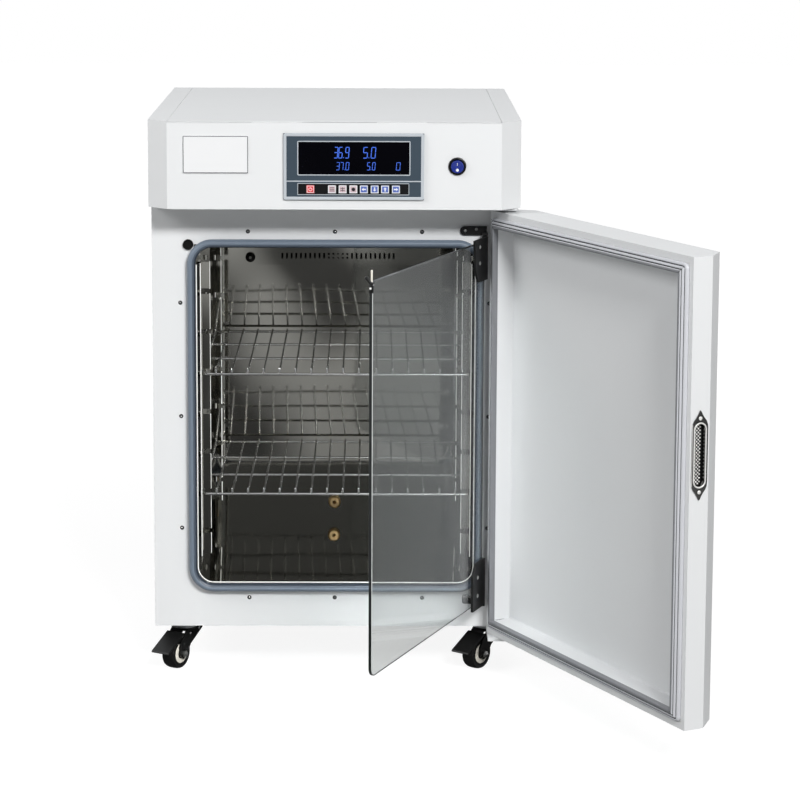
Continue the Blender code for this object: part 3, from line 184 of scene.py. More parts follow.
def show(tree, seen, met, kind):
    """Shows seen to camera rays, also through glass, and met to mirrors and light."""
    path = node(tree, "LightPath").outputs
    straight = maths(tree, "LESS_THAN", path["Glossy Depth"], 0.5)
    through = maths(tree, "MULTIPLY", path["Is Transmission Ray"], straight)
    either = maths(tree, "MAXIMUM", path["Is Camera Ray"], through)
    mix = node(tree, "MixShader", {0: either, 1: met.outputs[0], 2: seen.outputs[0]})
    node(tree, kind, {0: mix.outputs[0]})


def studio_world(light, dim):
    """Seen rays meet pure white. Mirrors and light meet white walls and a dark camera side, by the ray's Y."""
    world = bpy.data.worlds.new("studio")
    bpy.context.scene.world = world
    world.use_nodes = True
    tree = world.node_tree
    tree.nodes.clear()
    way = node(tree, "SeparateXYZ", {0: node(tree, "TexCoord").outputs["Generated"]})
    side = ranged(tree, way.outputs["Y"], (-0.88, -0.30), (dim, 1.0), interpolation_type="SMOOTHSTEP")
    strength = maths(tree, "MULTIPLY", mirror_mix(tree, light, 1.0), side)
    dome = node(tree, "Background", {"Color": (0.97, 0.985, 1.0, 1.0), "Strength": strength})
    white = node(tree, "Background", {"Color": (1.0, 1.0, 1.0, 1.0), "Strength": 1.0})
    show(tree, white, dome, "OutputWorld")


def new_group(name, inputs, outputs):
    """An empty group, what it is given (a Vector and the inputs) and what it returns (Colour or numbers)."""
    group = bpy.data.node_groups.new(name, "ShaderNodeTree")
    for label, value in {"Vector": (0.0, 0.0, 0.0), **inputs}.items():
        kind = "Float" if isinstance(value, float) else {3: "Vector", 4: "Color"}[len(value)]
        group.interface.new_socket(label, in_out="INPUT", socket_type="NodeSocket" + kind).default_value = value
    for label in outputs:
        kind = "Color" if label == "Colour" else "Float"
        group.interface.new_socket(label, in_out="OUTPUT", socket_type="NodeSocket" + kind)
    return group, group.nodes.new("NodeGroupInput").outputs, group.nodes.new("NodeGroupOutput").inputs


def sized_noise(group, given, detail):
    return noise(group, given["Vector"], maths(group, "DIVIDE", 1.0, given["Size"]), detail)


def set_height(group, given, returned, value):
    """Height = Depth * (value - 0.5)."""
    centred = maths(group, "SUBTRACT", value, 0.5)
    group.links.new(maths(group, "MULTIPLY", centred, given["Depth"]), returned["Height"])


def make_noise_height(name, size, depth, detail):
    """Height from a noise at 1 / Size."""
    group, given, returned = new_group(name, {"Size": size, "Depth": depth}, ["Height"])
    set_height(group, given, returned, sized_noise(group, given, detail))
    return group


def make_drawn_lines():
    """Height from a noise of Vector scaled by Stretch: fine lines left by a polishing belt."""
    group, given, returned = new_group("drawn_lines", {"Stretch": (4.0, 4.0, 900.0), "Depth": 1e-6}, ["Height"])
    scaled = node(group, "VectorMath", {0: given["Vector"], 1: given["Stretch"]}, operation="MULTIPLY")
    set_height(group, given, returned, noise(group, scaled.outputs[0], 1.0, 3.0))
    return group


def make_cloudy_tint():
    """Colour = mix of Base and Tint by Amount * a soft noise at 1 / Size."""
    group, given, returned = new_group(
        "cloudy_tint",
        {"Base": (0.8, 0.8, 0.8, 1.0), "Tint": (0.7, 0.7, 0.7, 1.0), "Amount": 0.3, "Size": 0.15},
        ["Colour"],
    )
    level = maths(group, "MULTIPLY", sized_noise(group, given, 4.0), given["Amount"])
    level = maths(group, "SMOOTH_MIN", level, 1.0, 0.05)
    group.links.new(colour_mix(group, level, given["Base"], given["Tint"]), returned["Colour"])
    return group


def make_handled_sheen():
    """Roughness = Middle + Spread * (noise at 1 / Size - 0.5): where hands and cloths have been."""
    group, given, returned = new_group("handled_sheen", {"Middle": 0.4, "Spread": 0.1, "Size": 0.05}, ["Roughness"])
    value = maths(group, "SUBTRACT", sized_noise(group, given, 3.0), 0.5)
    group.links.new(maths(group, "MULTIPLY_ADD", value, given["Spread"], given["Middle"]), returned["Roughness"])
    return group


def make_zinc_spangle():
    """Colour and Roughness change from one Voronoi cell of zinc crystal to the next."""
    group, given, returned = new_group(
        "zinc_spangle",
        {"Dark": (0.42, 0.44, 0.45, 1.0), "Light": (0.66, 0.68, 0.69, 1.0), "Size": 0.006},
        ["Colour", "Roughness"],
    )
    scale = maths(group, "DIVIDE", 1.0, given["Size"])
    crystals = node(group, "TexVoronoi", {"Vector": given["Vector"], "Scale": scale})
    split = node(group, "SeparateColor", {0: crystals.outputs["Color"]}).outputs
    group.links.new(colour_mix(group, split[0], given["Dark"], given["Light"]), returned["Colour"])
    group.links.new(maths(group, "MULTIPLY_ADD", split[1], 0.22, 0.28), returned["Roughness"])
    return group


GROUPS = {
    "grain": make_noise_height("fine_grain", 0.0006, 1e-5, 2.0),
    "waves": make_noise_height("slow_waves", 0.12, 1e-3, 0.0),
    "tint": make_cloudy_tint(),
    "sheen": make_handled_sheen(),
    "lines": make_drawn_lines(),
    "zinc": make_zinc_spangle(),
}


def use(tree, name, vector, **values):
    made = node(tree, "Group", node_tree=GROUPS[name])
    tree.links.new(vector, made.inputs["Vector"])
    for label, value in values.items():
        socket = made.inputs[label]
        socket.default_value = (*value, 1.0) if socket.type == "RGBA" else value
    return made.outputs


# ---- Finishes ----

def finish(name, base, tint, rough, cloud=0.2, spread=0.1, patch=0.05, grain=None, **sockets):
    """A Principled material whose colour, roughness and height each vary over the surface."""
    made = bpy.data.materials.new(name)
    made.use_nodes = True
    tree = made.node_tree
    shader = tree.nodes["Principled BSDF"]
    place = node(tree, "TexCoord").outputs["Object"]
    colour = use(tree, "tint", place, Base=base, Tint=tint, Amount=0.5, Size=cloud)
    tree.links.new(colour["Colour"], shader.inputs["Base Color"])
    sheen = use(tree, "sheen", place, Middle=rough, Spread=spread, Size=patch)
    tree.links.new(sheen["Roughness"], shader.inputs["Roughness"])
    for label, value in sockets.items():
        shader.inputs[label.replace("_", " ")].default_value = value
    if grain:
        bump(tree, use(tree, "grain", place, Size=grain[0], Depth=grain[1])["Height"])
    made.diffuse_color = (*base, 1.0)
    return made


def bump(tree, height):
    bumped = node(tree, "Bump", {"Distance": 1.0, "Strength": 1.0, "Height": height})
    tree.links.new(bumped.outputs["Normal"], tree.nodes["Principled BSDF"].inputs["Normal"])


def coordinates(made):
    return next(n for n in made.node_tree.nodes if n.type == "TEX_COORD").outputs["Object"]


def polished(name, base, tint, rough, wave, stretch, lines, lean=0.0):
    """Polished sheet: long waves pull the picture, belt lines blur it, and lean turns it by height = lean * x."""
    made = finish(name, base, tint, rough, cloud=0.25, spread=0.05, patch=0.08, Metallic=1.0)
    tree, place = made.node_tree, coordinates(made)
    slow = use(tree, "waves", place, Size=0.14, Depth=wave)["Height"]
    fine = use(tree, "lines", place, Stretch=stretch, Depth=lines)["Height"]
    leaning = maths(tree, "MULTIPLY_ADD", node(tree, "SeparateXYZ", {0: place}).outputs["X"], lean, slow)
    bump(tree, maths(tree, "ADD", leaning, fine))
    return made


def zinc_sheet():
    made = finish("zinc_sheet", (0.55, 0.57, 0.58), (0.45, 0.47, 0.48), 0.40, Metallic=0.9)
    tree = made.node_tree
    shader = tree.nodes["Principled BSDF"]
    crystals = use(tree, "zinc", coordinates(made), Size=0.007)
    tree.links.new(crystals["Colour"], shader.inputs["Base Color"])
    tree.links.new(crystals["Roughness"], shader.inputs["Roughness"])
    return made


def smoked_glass():
    """Grey tinted glass that also lets lamp light through at its own tint."""
    made = finish("grey_tinted_glass", (0.72, 0.735, 0.73), (0.69, 0.705, 0.70), 0.012,
                  cloud=0.3, spread=0.012, patch=0.06, Transmission_Weight=1.0, IOR=1.30)
    tree = made.node_tree
    clear = node(tree, "BsdfTransparent", {"Color": (0.72, 0.74, 0.74, 1.0)})
    shadow = node(tree, "LightPath").outputs["Is Shadow Ray"]
    mix = node(tree, "MixShader", {0: shadow, 1: tree.nodes["Principled BSDF"].outputs[0], 2: clear.outputs[0]})
    tree.links.new(mix.outputs[0], tree.nodes["Material Output"].inputs["Surface"])
    made.diffuse_color = (0.3, 0.33, 0.33, 0.5)
    return made


# What several finishes share. Grain is (size, depth).
SILICONE = {"cloud": 0.05, "spread": 0.14, "patch": 0.02, "grain": (0.0012, 1e-5)}
GASKET = {"cloud": 0.04, "spread": 0.12, "grain": (0.0010, 1e-5)}
KEY_CAP = {"cloud": 0.01, "grain": (0.0006, 8e-6)}
PLATED = {"cloud": 0.004, "spread": 0.16, "patch": 0.003}

M = {
    "white": finish("white_powder_coat", (0.80, 0.81, 0.815), (0.76, 0.77, 0.775), 0.36,
                    cloud=0.5, spread=0.06, grain=(0.0016, 1.6e-5)),
    "liner": finish("door_pan_enamel", (0.76, 0.77, 0.78), (0.72, 0.73, 0.74), 0.42,
                    cloud=0.3, spread=0.10, grain=(0.0022, 1.8e-5)),
    "mirror": polished("mirror_steel", (0.42, 0.415, 0.38), (0.36, 0.355, 0.325), 0.045,
                       4e-4, (6.0, 6.0, 1400.0), 3e-7, lean=-0.0173),
    "wire": polished("polished_wire", (0.86, 0.86, 0.85), (0.78, 0.78, 0.77), 0.20, 1e-5, (200.0, 200.0, 200.0), 1e-6),
    "chrome": polished("polished_handle", (0.17, 0.17, 0.165), (0.12, 0.12, 0.118), 0.14,
                       2e-4, (8.0, 8.0, 1200.0), 8e-7),
    "zinc": zinc_sheet(),
    "wool": finish("glass_wool_board", (0.62, 0.52, 0.22), (0.50, 0.42, 0.17), 0.95, cloud=0.02, grain=(0.003, 8e-4)),
    "seal": finish("blue_grey_silicone", (0.150, 0.188, 0.240), (0.180, 0.220, 0.275), 0.40, **SILICONE),
    # Darker copies of the seal's silicone: painted shade where the bulb turns inwards, away from the light
    "seal_turning_shade": finish("seal_turning_painted_shade", (0.070, 0.092, 0.125), (0.090, 0.112, 0.145), 0.42, **SILICONE),
    "seal_inner_shade": finish("seal_inner_painted_shade", (0.030, 0.042, 0.062), (0.045, 0.058, 0.080), 0.42, **SILICONE),
    "gasket": finish("grey_magnetic_gasket", (0.58, 0.59, 0.62), (0.52, 0.53, 0.56), 0.42, **GASKET),
    # Painted shade: a dark copy of the gasket grey for its high inner band
    "gasket_inner_shade": finish("gasket_inner_painted_shade", (0.22, 0.225, 0.24), (0.18, 0.185, 0.20), 0.45, **GASKET),
    "gasket_groove": finish("gasket_groove_shadow", (0.05, 0.05, 0.055), (0.03, 0.03, 0.033), 0.7,
                            cloud=0.03, grain=(0.001, 8e-6)),
    "black_coat": finish("black_powder_coat", (0.005, 0.005, 0.005), (0.011, 0.011, 0.011), 0.42,
                         cloud=0.03, spread=0.14, patch=0.01, grain=(0.0009, 2.2e-5), Specular_IOR_Level=0.3),
    "black_mould": finish("moulded_black_plastic", (0.004, 0.004, 0.004), (0.009, 0.009, 0.009), 0.38,
                          cloud=0.02, spread=0.12, grain=(0.0006, 1.2e-5), Specular_IOR_Level=0.25),
    "glass": smoked_glass(),
    "glass_edge": finish("ground_glass_edge", (0.006, 0.008, 0.008), (0.012, 0.016, 0.016), 0.30,
                         cloud=0.02, grain=(0.0008, 8e-6), Coat_Weight=0.5),
    # Painted highlight for the pane's free edge
    "arris": finish("glass_arris_painted_highlight", (0.72, 0.74, 0.73), (0.62, 0.64, 0.63), 0.25, cloud=0.02),
    "brass": polished("turned_brass", (0.95, 0.68, 0.36), (0.80, 0.52, 0.24), 0.34,
                      1e-5, (300.0, 300.0, 300.0), 1.5e-6),
    "slate": finish("slate_film", (0.028, 0.049, 0.071), (0.036, 0.058, 0.082), 0.50,
                    cloud=0.06, spread=0.08, grain=(0.0005, 6e-6)),
    "silver": finish("brushed_silver_border", (0.58, 0.62, 0.66), (0.50, 0.54, 0.58), 0.34,
                     cloud=0.02, Metallic=0.15, grain=(0.0008, 4e-6)),
    "pale_line": finish("printed_pale_line", (0.50, 0.54, 0.58), (0.44, 0.48, 0.52), 0.5, cloud=0.02),
    "window": finish("black_display_window", (0.001, 0.001, 0.002), (0.002, 0.002, 0.004), 0.10,
                     cloud=0.05, spread=0.04, Specular_IOR_Level=0.06),
    "digits": finish("blue_lit_digits", (0.05, 0.12, 0.55), (0.04, 0.10, 0.5), 0.3,
                     Emission_Color=(0.06, 0.20, 1.0, 1.0), Emission_Strength=0.42),
    "key_strip": finish("black_key_film", (0.002, 0.002, 0.003), (0.004, 0.004, 0.005), 0.5,
                        cloud=0.02, grain=(0.0005, 8e-6), Specular_IOR_Level=0.2),
    "red": finish("red_key_film", (0.78, 0.045, 0.055), (0.68, 0.030, 0.040), 0.42, **KEY_CAP),
    "pink": finish("pale_pink_key_film", (0.62, 0.47, 0.50), (0.54, 0.40, 0.43), 0.42, **KEY_CAP),
    "blue": finish("blue_key_film", (0.085, 0.150, 0.50), (0.060, 0.110, 0.42), 0.42, **KEY_CAP),
    "rocker": finish("blue_rocker_plastic", (0.012, 0.030, 0.26), (0.008, 0.020, 0.20), 0.16,
                     cloud=0.01, spread=0.08, Coat_Weight=0.4),
    "mark_white": finish("white_printed_mark", (0.82, 0.83, 0.85), (0.75, 0.76, 0.78), 0.5, cloud=0.01),
    "mark_dark": finish("dark_printed_mark", (0.05, 0.035, 0.045), (0.04, 0.03, 0.04), 0.5, cloud=0.01),
    "label": finish("white_label_plate", (0.84, 0.845, 0.85), (0.80, 0.805, 0.81), 0.34,
                    cloud=0.05, spread=0.08, grain=(0.0006, 4e-6)),
    "label_edge": finish("dark_label_border", (0.06, 0.065, 0.075), (0.05, 0.055, 0.065), 0.4, cloud=0.02),
    "circuit": finish("green_circuit_board", (0.02, 0.14, 0.06), (0.01, 0.09, 0.04), 0.35,
                      cloud=0.008, grain=(0.0016, 3e-5)),
    "tread": finish("black_wheel_tread", (0.004, 0.004, 0.004), (0.010, 0.010, 0.010), 0.5,
                    cloud=0.01, spread=0.18, patch=0.006, grain=(0.0010, 2e-5), Specular_IOR_Level=0.3),
    "cream": finish("cream_hub_plastic", (0.92, 0.88, 0.78), (0.84, 0.80, 0.70), 0.42,
                    cloud=0.01, grain=(0.0008, 8e-6)),
    "screw": finish("zinc_plated_screw", (0.46, 0.46, 0.45), (0.34, 0.34, 0.33), 0.32,
                    **PLATED, Metallic=1.0, grain=(0.0006, 6e-6)),
    "rivet": finish("bright_rivet", (0.70, 0.70, 0.69), (0.58, 0.58, 0.57), 0.22,
                    cloud=0.004, spread=0.12, patch=0.003, Metallic=1.0),
    "screw_dark": finish("shadowed_screw", (0.030, 0.030, 0.030), (0.055, 0.055, 0.055), 0.35, **PLATED, Metallic=0.4),
    # Handle grip: painted shade between the domes, and a painted highlight on domes, lip, screws and the plate's side
    # edge
    "grip_painted_shade": finish("grip_valley_painted_shade", (0.006, 0.006, 0.006), (0.012, 0.012, 0.012), 0.50,
                        cloud=0.004, Specular_IOR_Level=0.25),
    "grip_painted_highlight": finish("grip_peak_painted_highlight", (0.86, 0.85, 0.83), (0.74, 0.73, 0.71), 0.30, cloud=0.004, Metallic=0.25),
    # glint glows: a painted highlight for thin bars and studs where an edge would catch the lamp
    "glint": finish("painted_edge_highlight", (0.90, 0.90, 0.88), (0.80, 0.80, 0.78), 0.30,
                    cloud=0.01, Emission_Color=(1.0, 0.99, 0.96, 1.0), Emission_Strength=0.32),
    "shade": finish("folded_corner_shadow", (0.16, 0.17, 0.17), (0.12, 0.13, 0.13), 0.6, cloud=0.02),
}

CAD_FINISH = {
    "white": (
        "cabinet_shell", "front_frame", "back_panel", "hood_shell", "hood_lid", "door_shell",
        "door_hinge_top", "door_hinge_bottom",
    ),
    "liner": ("door_liner",),
    "mirror": ("chamber_liner", "duct_cover", *("rack_post_" + place for place in CASTERS)),
    "wire": ("upper_shelf", "lower_shelf"),
    "chrome": ("handle_plate",),
    "zinc": ("base_pan", "hood_deck", "fan_motor", "fan_impeller", "heating_element"),
    "wool": ("chamber_insulation", "door_insulation"),
    "seal": ("chamber_seal",),
    "gasket": ("door_gasket",),
    "black_coat": (
        "glass_bracket_top", "glass_bracket_bottom", "glass_clamp_top", "glass_clamp_bottom", "glass_catch",
        "brake_pedal_front_left", "brake_pedal_front_right", *("caster_fork_" + place for place in CASTERS),
    ),
    "black_mould": ("cable_gland", "switch_bezel", "catch_socket"),
    "glass": ("glass_pane",),
    "brass": ("gas_fitting",),
    "slate": ("panel_bezel",),
    "window": ("display_window",),
    "red": ("key_power",),
    "pink": ("key_menu", "key_mode", "key_set"),
    "blue": ("key_left", "key_down", "key_up", "key_right"),
    "rocker": ("switch_rocker",),
    "label": ("nameplate",),
    "circuit": ("control_board",),
    "tread": tuple("caster_wheel_" + place for place in CASTERS),
}
FINISH_OF = {name: key for key, names in CAD_FINISH.items() for name in names}
BODY_OF = {name: body for body, names in frame["record"]["behaviour"]["bodies"].items() for name in names}

# The radius that a CAD node's sharp edges are rounded to
ROUNDED = (
    (0.0007, (
        "cabinet_shell", "back_panel", "hood_shell", "hood_lid", "front_frame", "door_shell",
        "door_hinge_top", "door_hinge_bottom",
    )),
    (0.0008, ("door_liner",)),
    (0.0004, ("panel_bezel",)),
    (0.0002, ("nameplate", "display_window")),
    (0.0003, ("handle_plate",)),
    (0.0004, ("glass_bracket_top", "glass_bracket_bottom", "glass_clamp_top", "glass_clamp_bottom")),
    (0.0005, ("brake_pedal_front_left", "brake_pedal_front_right", *("caster_fork_" + place for place in CASTERS))),
)


def dress_cad_nodes():
    for name, key in FINISH_OF.items():
        data = frame["nodes"][name].data
        data.materials.clear()
        data.materials.append(M[key])


# ---- Placing points ----

def turned_about(points, axis, degrees):
    """Turns points about an upright line through axis."""
    a = math.radians(degrees)
    moved = np.array(points, float)
    x, y = moved[..., 0] - axis[0], moved[..., 1] - axis[1]
    moved[..., 0] = axis[0] + x * math.cos(a) - y * math.sin(a)
    moved[..., 1] = axis[1] + x * math.sin(a) + y * math.cos(a)
    return moved


def with_door(part):
    return turned_about(part[0], DOOR_AXIS, DOOR_OPEN), part[1]


def with_glass(part):
    return turned_about(part[0], GLASS_AXIS, GLASS_OPEN), part[1]


def at_caster(part, place):
    """From a caster's own frame (X along the trail, Y along the axle) to the cabinet's."""
    x, y, turn = CASTERS[place]
    moved = turned_about(part[0], (0.0, 0.0), turn)
    return moved + np.array([x, y, 0.0]), part[1]


def piece(name, parts, body, key, sharp=35.0):
    """Makes one object of several (points, faces) parts, welded, facing outwards, riding on a body."""
    points = np.concatenate([part[0].reshape(-1, 3) for part in parts]) + ORIGIN
    starts = np.cumsum([0] + [part[0].reshape(-1, 3).shape[0] for part in parts[:-1]])
    faces = [(np.asarray(face) + start).tolist() for part, start in zip(parts, starts) for face in part[1]]
    mesh = bpy.data.meshes.new(name)
    mesh.from_pydata(points.tolist(), [], faces)
    bm = bmesh.new()
    bm.from_mesh(mesh)
    bmesh.ops.remove_doubles(bm, verts=bm.verts, dist=1e-7)
    bmesh.ops.recalc_face_normals(bm, faces=bm.faces)
    bm.to_mesh(mesh)
    bm.free()
    mesh.materials.append(M[key])
    mesh.shade_smooth()
    mesh.set_sharp_from_angle(angle=math.radians(sharp))
    made = bpy.data.objects.new(name, mesh)
    bpy.context.scene.collection.objects.link(made)
    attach(made, body)
    return made


def softened(name, width):
    """A welded copy of a CAD node with its sharp edges rounded, in place of the node."""
    mesh = frame["nodes"][name].data.copy()
    mesh.name = name + "_rounded"
    bm = bmesh.new()
    bm.from_mesh(mesh)
    bmesh.ops.remove_doubles(bm, verts=bm.verts, dist=2e-6)
    bmesh.ops.dissolve_limit(bm, angle_limit=math.radians(0.4), verts=bm.verts, edges=bm.edges)
    bm.to_mesh(mesh)
    bm.free()
    mesh.materials.clear()
    mesh.materials.append(M[FINISH_OF[name]])
    mesh.shade_smooth()
    made = bpy.data.objects.new(name + "_rounded", mesh)
    bpy.context.scene.collection.objects.link(made)
    edge = made.modifiers.new("edge", "BEVEL")
    edge.width = width
    edge.segments = 2
    edge.limit_method = "ANGLE"
    edge.angle_limit = math.radians(34.0)
    edge.use_clamp_overlap = True
    edge.harden_normals = False
    made.modifiers.new("flat", "WEIGHTED_NORMAL").weight = 100
    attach(made, BODY_OF[name])
    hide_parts(name)


def shut_centres(made, axis, degrees):
    """The middles of an object's faces once its door is turned shut."""
    centres = np.zeros(len(made.data.polygons) * 3)
    made.data.polygons.foreach_get("center", centres)
    return turned_about(centres.reshape(-1, 3) - ORIGIN, axis, -degrees)


def paint_faces(made, keys, index):
    """Adds finishes after an object's first, and gives each face the one at its index."""
    for key in keys:
        made.data.materials.append(M[key])
    made.data.polygons.foreach_set("material_index", index.astype(np.int32))


# ---- Surfaces ----

def cells(rows, columns, wrap_rows):
    """Index quads of a grid of loops: cell (i, j) joins rows i and i + 1, columns j and j + 1."""
    i = np.arange(rows if wrap_rows else rows - 1)
    i, j = [a.reshape(-1) for a in np.meshgrid(i, np.arange(columns), indexing="ij")]
    after_i, after_j = (i + 1) % rows, (j + 1) % columns
    return np.stack([i * columns + j, i * columns + after_j, after_i * columns + after_j, after_i * columns + j], 1)


def skinned(rows, ring=False):
    """Skins an array of loops (row, point, 3), closing its ends with flat faces unless it is a ring."""
    count, size = rows.shape[:2]
    faces = [face for face in cells(count, size, ring)]
    if not ring:
        faces += [np.arange(size), np.arange(size) + (count - 1) * size]
    return rows.reshape(-1, 3), faces


def across(axis):
    """Two directions square to an axis and to each other."""
    u = np.cross(axis, Z if abs(axis[2]) < 0.9 else X)
    u /= np.linalg.norm(u)
    return u, np.cross(axis, u)


def lathe(profile, centre, axis, sides=48, ring=False, lobes=0, lobe=0.0):
    """P(k, a) = centre + h_k axis + r_k (1 + lobe cos(lobes a)) (cos a u + sin a v)."""
    profile, axis = np.array(profile, float), np.array(axis, float)
    u, v = across(axis)
    a = np.linspace(0.0, 2 * np.pi, sides, endpoint=False)
    around = (np.cos(a)[:, None] * u + np.sin(a)[:, None] * v) * (1 + lobe * np.cos(lobes * a))[:, None]
    rows = np.array(centre) + profile[:, 1, None, None] * axis + profile[:, 0, None, None] * around
    return skinned(rows, ring)


def outline(half_w, half_h, radius, steps=5):
    """A rounded rectangle: quarter circles of the radius about its four inner corners."""
    a = np.linspace(0.0, np.pi / 2, steps + 1)
    turns = np.arange(4)[:, None] * np.pi / 2 + a
    cx = np.array([1, -1, -1, 1])[:, None] * (half_w - radius)
    cy = np.array([1, 1, -1, -1])[:, None] * (half_h - radius)
    return np.stack([cx + radius * np.cos(turns), cy + radius * np.sin(turns)], -1).reshape(-1, 2)


def framed(centre, u, v, n, half_w, half_h, radius, section, steps=5, ring=True):
    """P(k, j) = centre + x u + y v + h_k n, with (x, y) on the rounded rectangle grown by o_k."""
    rows = []
    for grow, height in section:
        loop = outline(half_w + grow, half_h + grow, max(radius + grow, 0.00005), steps)
        rows.append(np.array(centre) + loop[:, :1] * u + loop[:, 1:] * v + height * np.array(n))
    return skinned(np.array(rows), ring)


def facing_front(limits, y, radius, section, steps=5, ring=True):
    """framed() on a rectangle at depth y, with heights towards the front."""
    left, right, low, high = limits
    centre = ((left + right) / 2, y, (low + high) / 2)
    return framed(centre, X, Z, -Y, (right - left) / 2, (high - low) / 2, radius, section, steps, ring)


def plaque(centre, u, v, n, half_w, half_h, radius, height, edge, steps=5):
    """A low plate whose rim is a quarter round of the given edge radius."""
    a = np.linspace(0.0, np.pi / 2, 4)
    section = [(0.0, 0.0)] + [(edge * (np.cos(t) - 1), height + edge * (np.sin(t) - 1)) for t in a]
    return framed(centre, u, v, n, half_w, half_h, radius, section, steps, ring=False)


def bar(path, radius, normal, sides=12, dome=True):
    """P(i, a) = p_i + r_i (cos a N + sin a T_i x N), with the ends drawn in to a dome."""
    path = np.array(path, float)
    radii = np.full(len(path), radius)
    if dome:
        first = path[0] - path[1]
        last = path[-1] - path[-2]
        first /= np.linalg.norm(first)
        last /= np.linalg.norm(last)
        t = np.array([0.95, 0.7, 0.35])[:, None]
        path = np.concatenate([path[0] + radius * t * first, path, path[-1] + radius * t[::-1] * last])
        ends = radius * np.sqrt(1 - np.array([0.95, 0.7, 0.35]) ** 2)
        radii = np.concatenate([ends, radii, ends[::-1]])
    along = np.gradient(path, axis=0)
    along /= np.linalg.norm(along, axis=1)[:, None]
    normal = np.array(normal, float)
    side = np.cross(along, normal)
    side /= np.linalg.norm(side, axis=1)[:, None]
    a = np.linspace(0.0, 2 * np.pi, sides, endpoint=False)
    ring = np.cos(a)[None, :, None] * normal + np.sin(a)[None, :, None] * side[:, None, :]
    return skinned(path[:, None, :] + radii[:, None, None] * ring)


def rounded_path(corners, radius, steps=6):
    """A polyline whose inner corners become arcs: each is centre - r (cos t ahead + sin t back)."""
    corners = np.array(corners, float)
    out = [corners[0]]
    for before, corner, after in zip(corners[:-2], corners[1:-1], corners[2:]):
        back = (before - corner) / np.linalg.norm(before - corner)
        ahead = (after - corner) / np.linalg.norm(after - corner)
        t = np.linspace(0.0, np.pi / 2, steps + 1)[:, None]
        out.extend(corner + radius * (back + ahead) - radius * (np.cos(t) * ahead + np.sin(t) * back))
    out.append(corners[-1])
    return np.array(out)


def cross_screw(centre, axis, radius, height, spin=0.3):
    """P(s, a): r = R s, level H (1 - s^2.6), less a cross-shaped recess in the middle."""
    axis = np.array(axis, float)
    u, v = across(axis)
    s = np.array([0.0, 0.12, 0.24, 0.36, 0.48, 0.58, 0.66, 0.76, 0.86, 0.94, 1.0])
    a = np.linspace(0.0, 2 * np.pi, 32, endpoint=False)
    s, a = np.meshgrid(s, a, indexing="ij")
    x, y = s * np.cos(a), s * np.sin(a)
    arm = np.minimum(np.abs(x * np.cos(spin) + y * np.sin(spin)), np.abs(y * np.cos(spin) - x * np.sin(spin)))
    recess = np.clip((0.15 - arm) / 0.06, 0.0, 1.0) * np.clip((0.64 - s) / 0.08, 0.0, 1.0)
    level = height * (1 - s ** 2.6) - 0.75 * height * recess
    rows = np.array(centre) + radius * (x[..., None] * u + y[..., None] * v) + level[..., None] * axis
    skirt = rows[-1:] - (0.0004 + level[-1:, :, None]) * axis
    return skinned(np.concatenate([rows, skirt]))


def flat_mark(points, front, thick=0.0002):
    """A printed mark: an outline in X-Z drawn back from the level front."""
    points = np.array(points, float)
    rows = [np.stack([points[:, 0], np.full(len(points), y), points[:, 1]], 1) for y in (front, front + thick)]
    return skinned(np.array(rows))


# ---- Cabinet and hood ----

def hardware(name, parts, body="cabinet", key="screw"):
    return piece(name, parts, body, key)


def round_the_sheet_metal():
    for width, names in ROUNDED:
        for name in names:
            softened(name, width)


def front_screws():
    places = [(x, z) for z in (0.6482, 0.1116) for x in (-0.1241, 0.0, 0.1241)]
    places += [(x, z) for x in (-0.2211, 0.2211) for z in (0.5452, 0.3799, 0.2153)]
    parts = [cross_screw((x, 0.0, z), -Y, 0.0031, 0.0012, 0.4 * k) for k, (x, z) in enumerate(places)]
    hardware("front_frame_screws", parts, key="screw_dark")
    dome = [(0.0, 0.0014), (0.0006, 0.0013), (0.0010, 0.0010), (0.0010, 0.0002), (0.0, 0.0002)]
    hardware("front_screw_centres", [lathe(dome, (x, 0.0, z), -Y, 16) for x, z in places], key="rivet")


def back_screws():
    places = [(x, z) for z in (0.082, 0.676, 0.800) for x in (-0.245, 0.0, 0.245)]
    places += [(x, z) for x in (-0.245, 0.245) for z in (0.28, 0.48)]
    parts = [cross_screw((x, 0.5047, z), Y, 0.0032, 0.0014, 0.5 * k) for k, (x, z) in enumerate(places)]
    hardware("back_panel_screws", parts)


def chamber_seal():
    """A soft hollow bulb carried round the chamber's mouth, with painted shade where its section turns inwards."""
    around, band = 28, 0.0120
    a = np.linspace(0.0, 2 * np.pi, around, endpoint=False)
    across_band = -band / 2 * (1 - np.cos(a))
    rise = 0.00705 * np.sin(a) + 0.0004 * np.cos(5 * a) * (np.sin(a) > 0)
    seal = facing_front(SEAL_LIMITS, SEAL_BACK, 0.036, list(zip(across_band, rise)), 14)
    made = piece("mouth_seal", [seal], "cabinet", "seal")
    row = np.arange(len(made.data.polygons)) // (len(seal[0]) // around)
    # Painted shade: the turning and inner rows get darker copies of the silicone
    turning, inner = (row == 8) | (row == 9), (row > 9) & (row < 20)
    paint_faces(made, ("seal_turning_shade", "seal_inner_shade"), np.where(inner, 2, np.where(turning, 1, 0)))
    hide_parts("chamber_seal")


def liner_edge_highlight():
    """Painted highlight: a glowing bar along the liner's folded edge, seen past the seal at the left, below and at the
    right.
    """
    corners = [(-LIP_X, LIP_HIGH), (-LIP_X, LIP_LOW), (LIP_X, LIP_LOW), (LIP_X, LIP_HIGH)]
    path = rounded_path([(x, LIP_Y, z) for x, z in corners], 0.0232, 12)
    piece("liner_edge_highlight", [bar(path, 0.0008, Y, 10)], "cabinet", "glint", sharp=60)


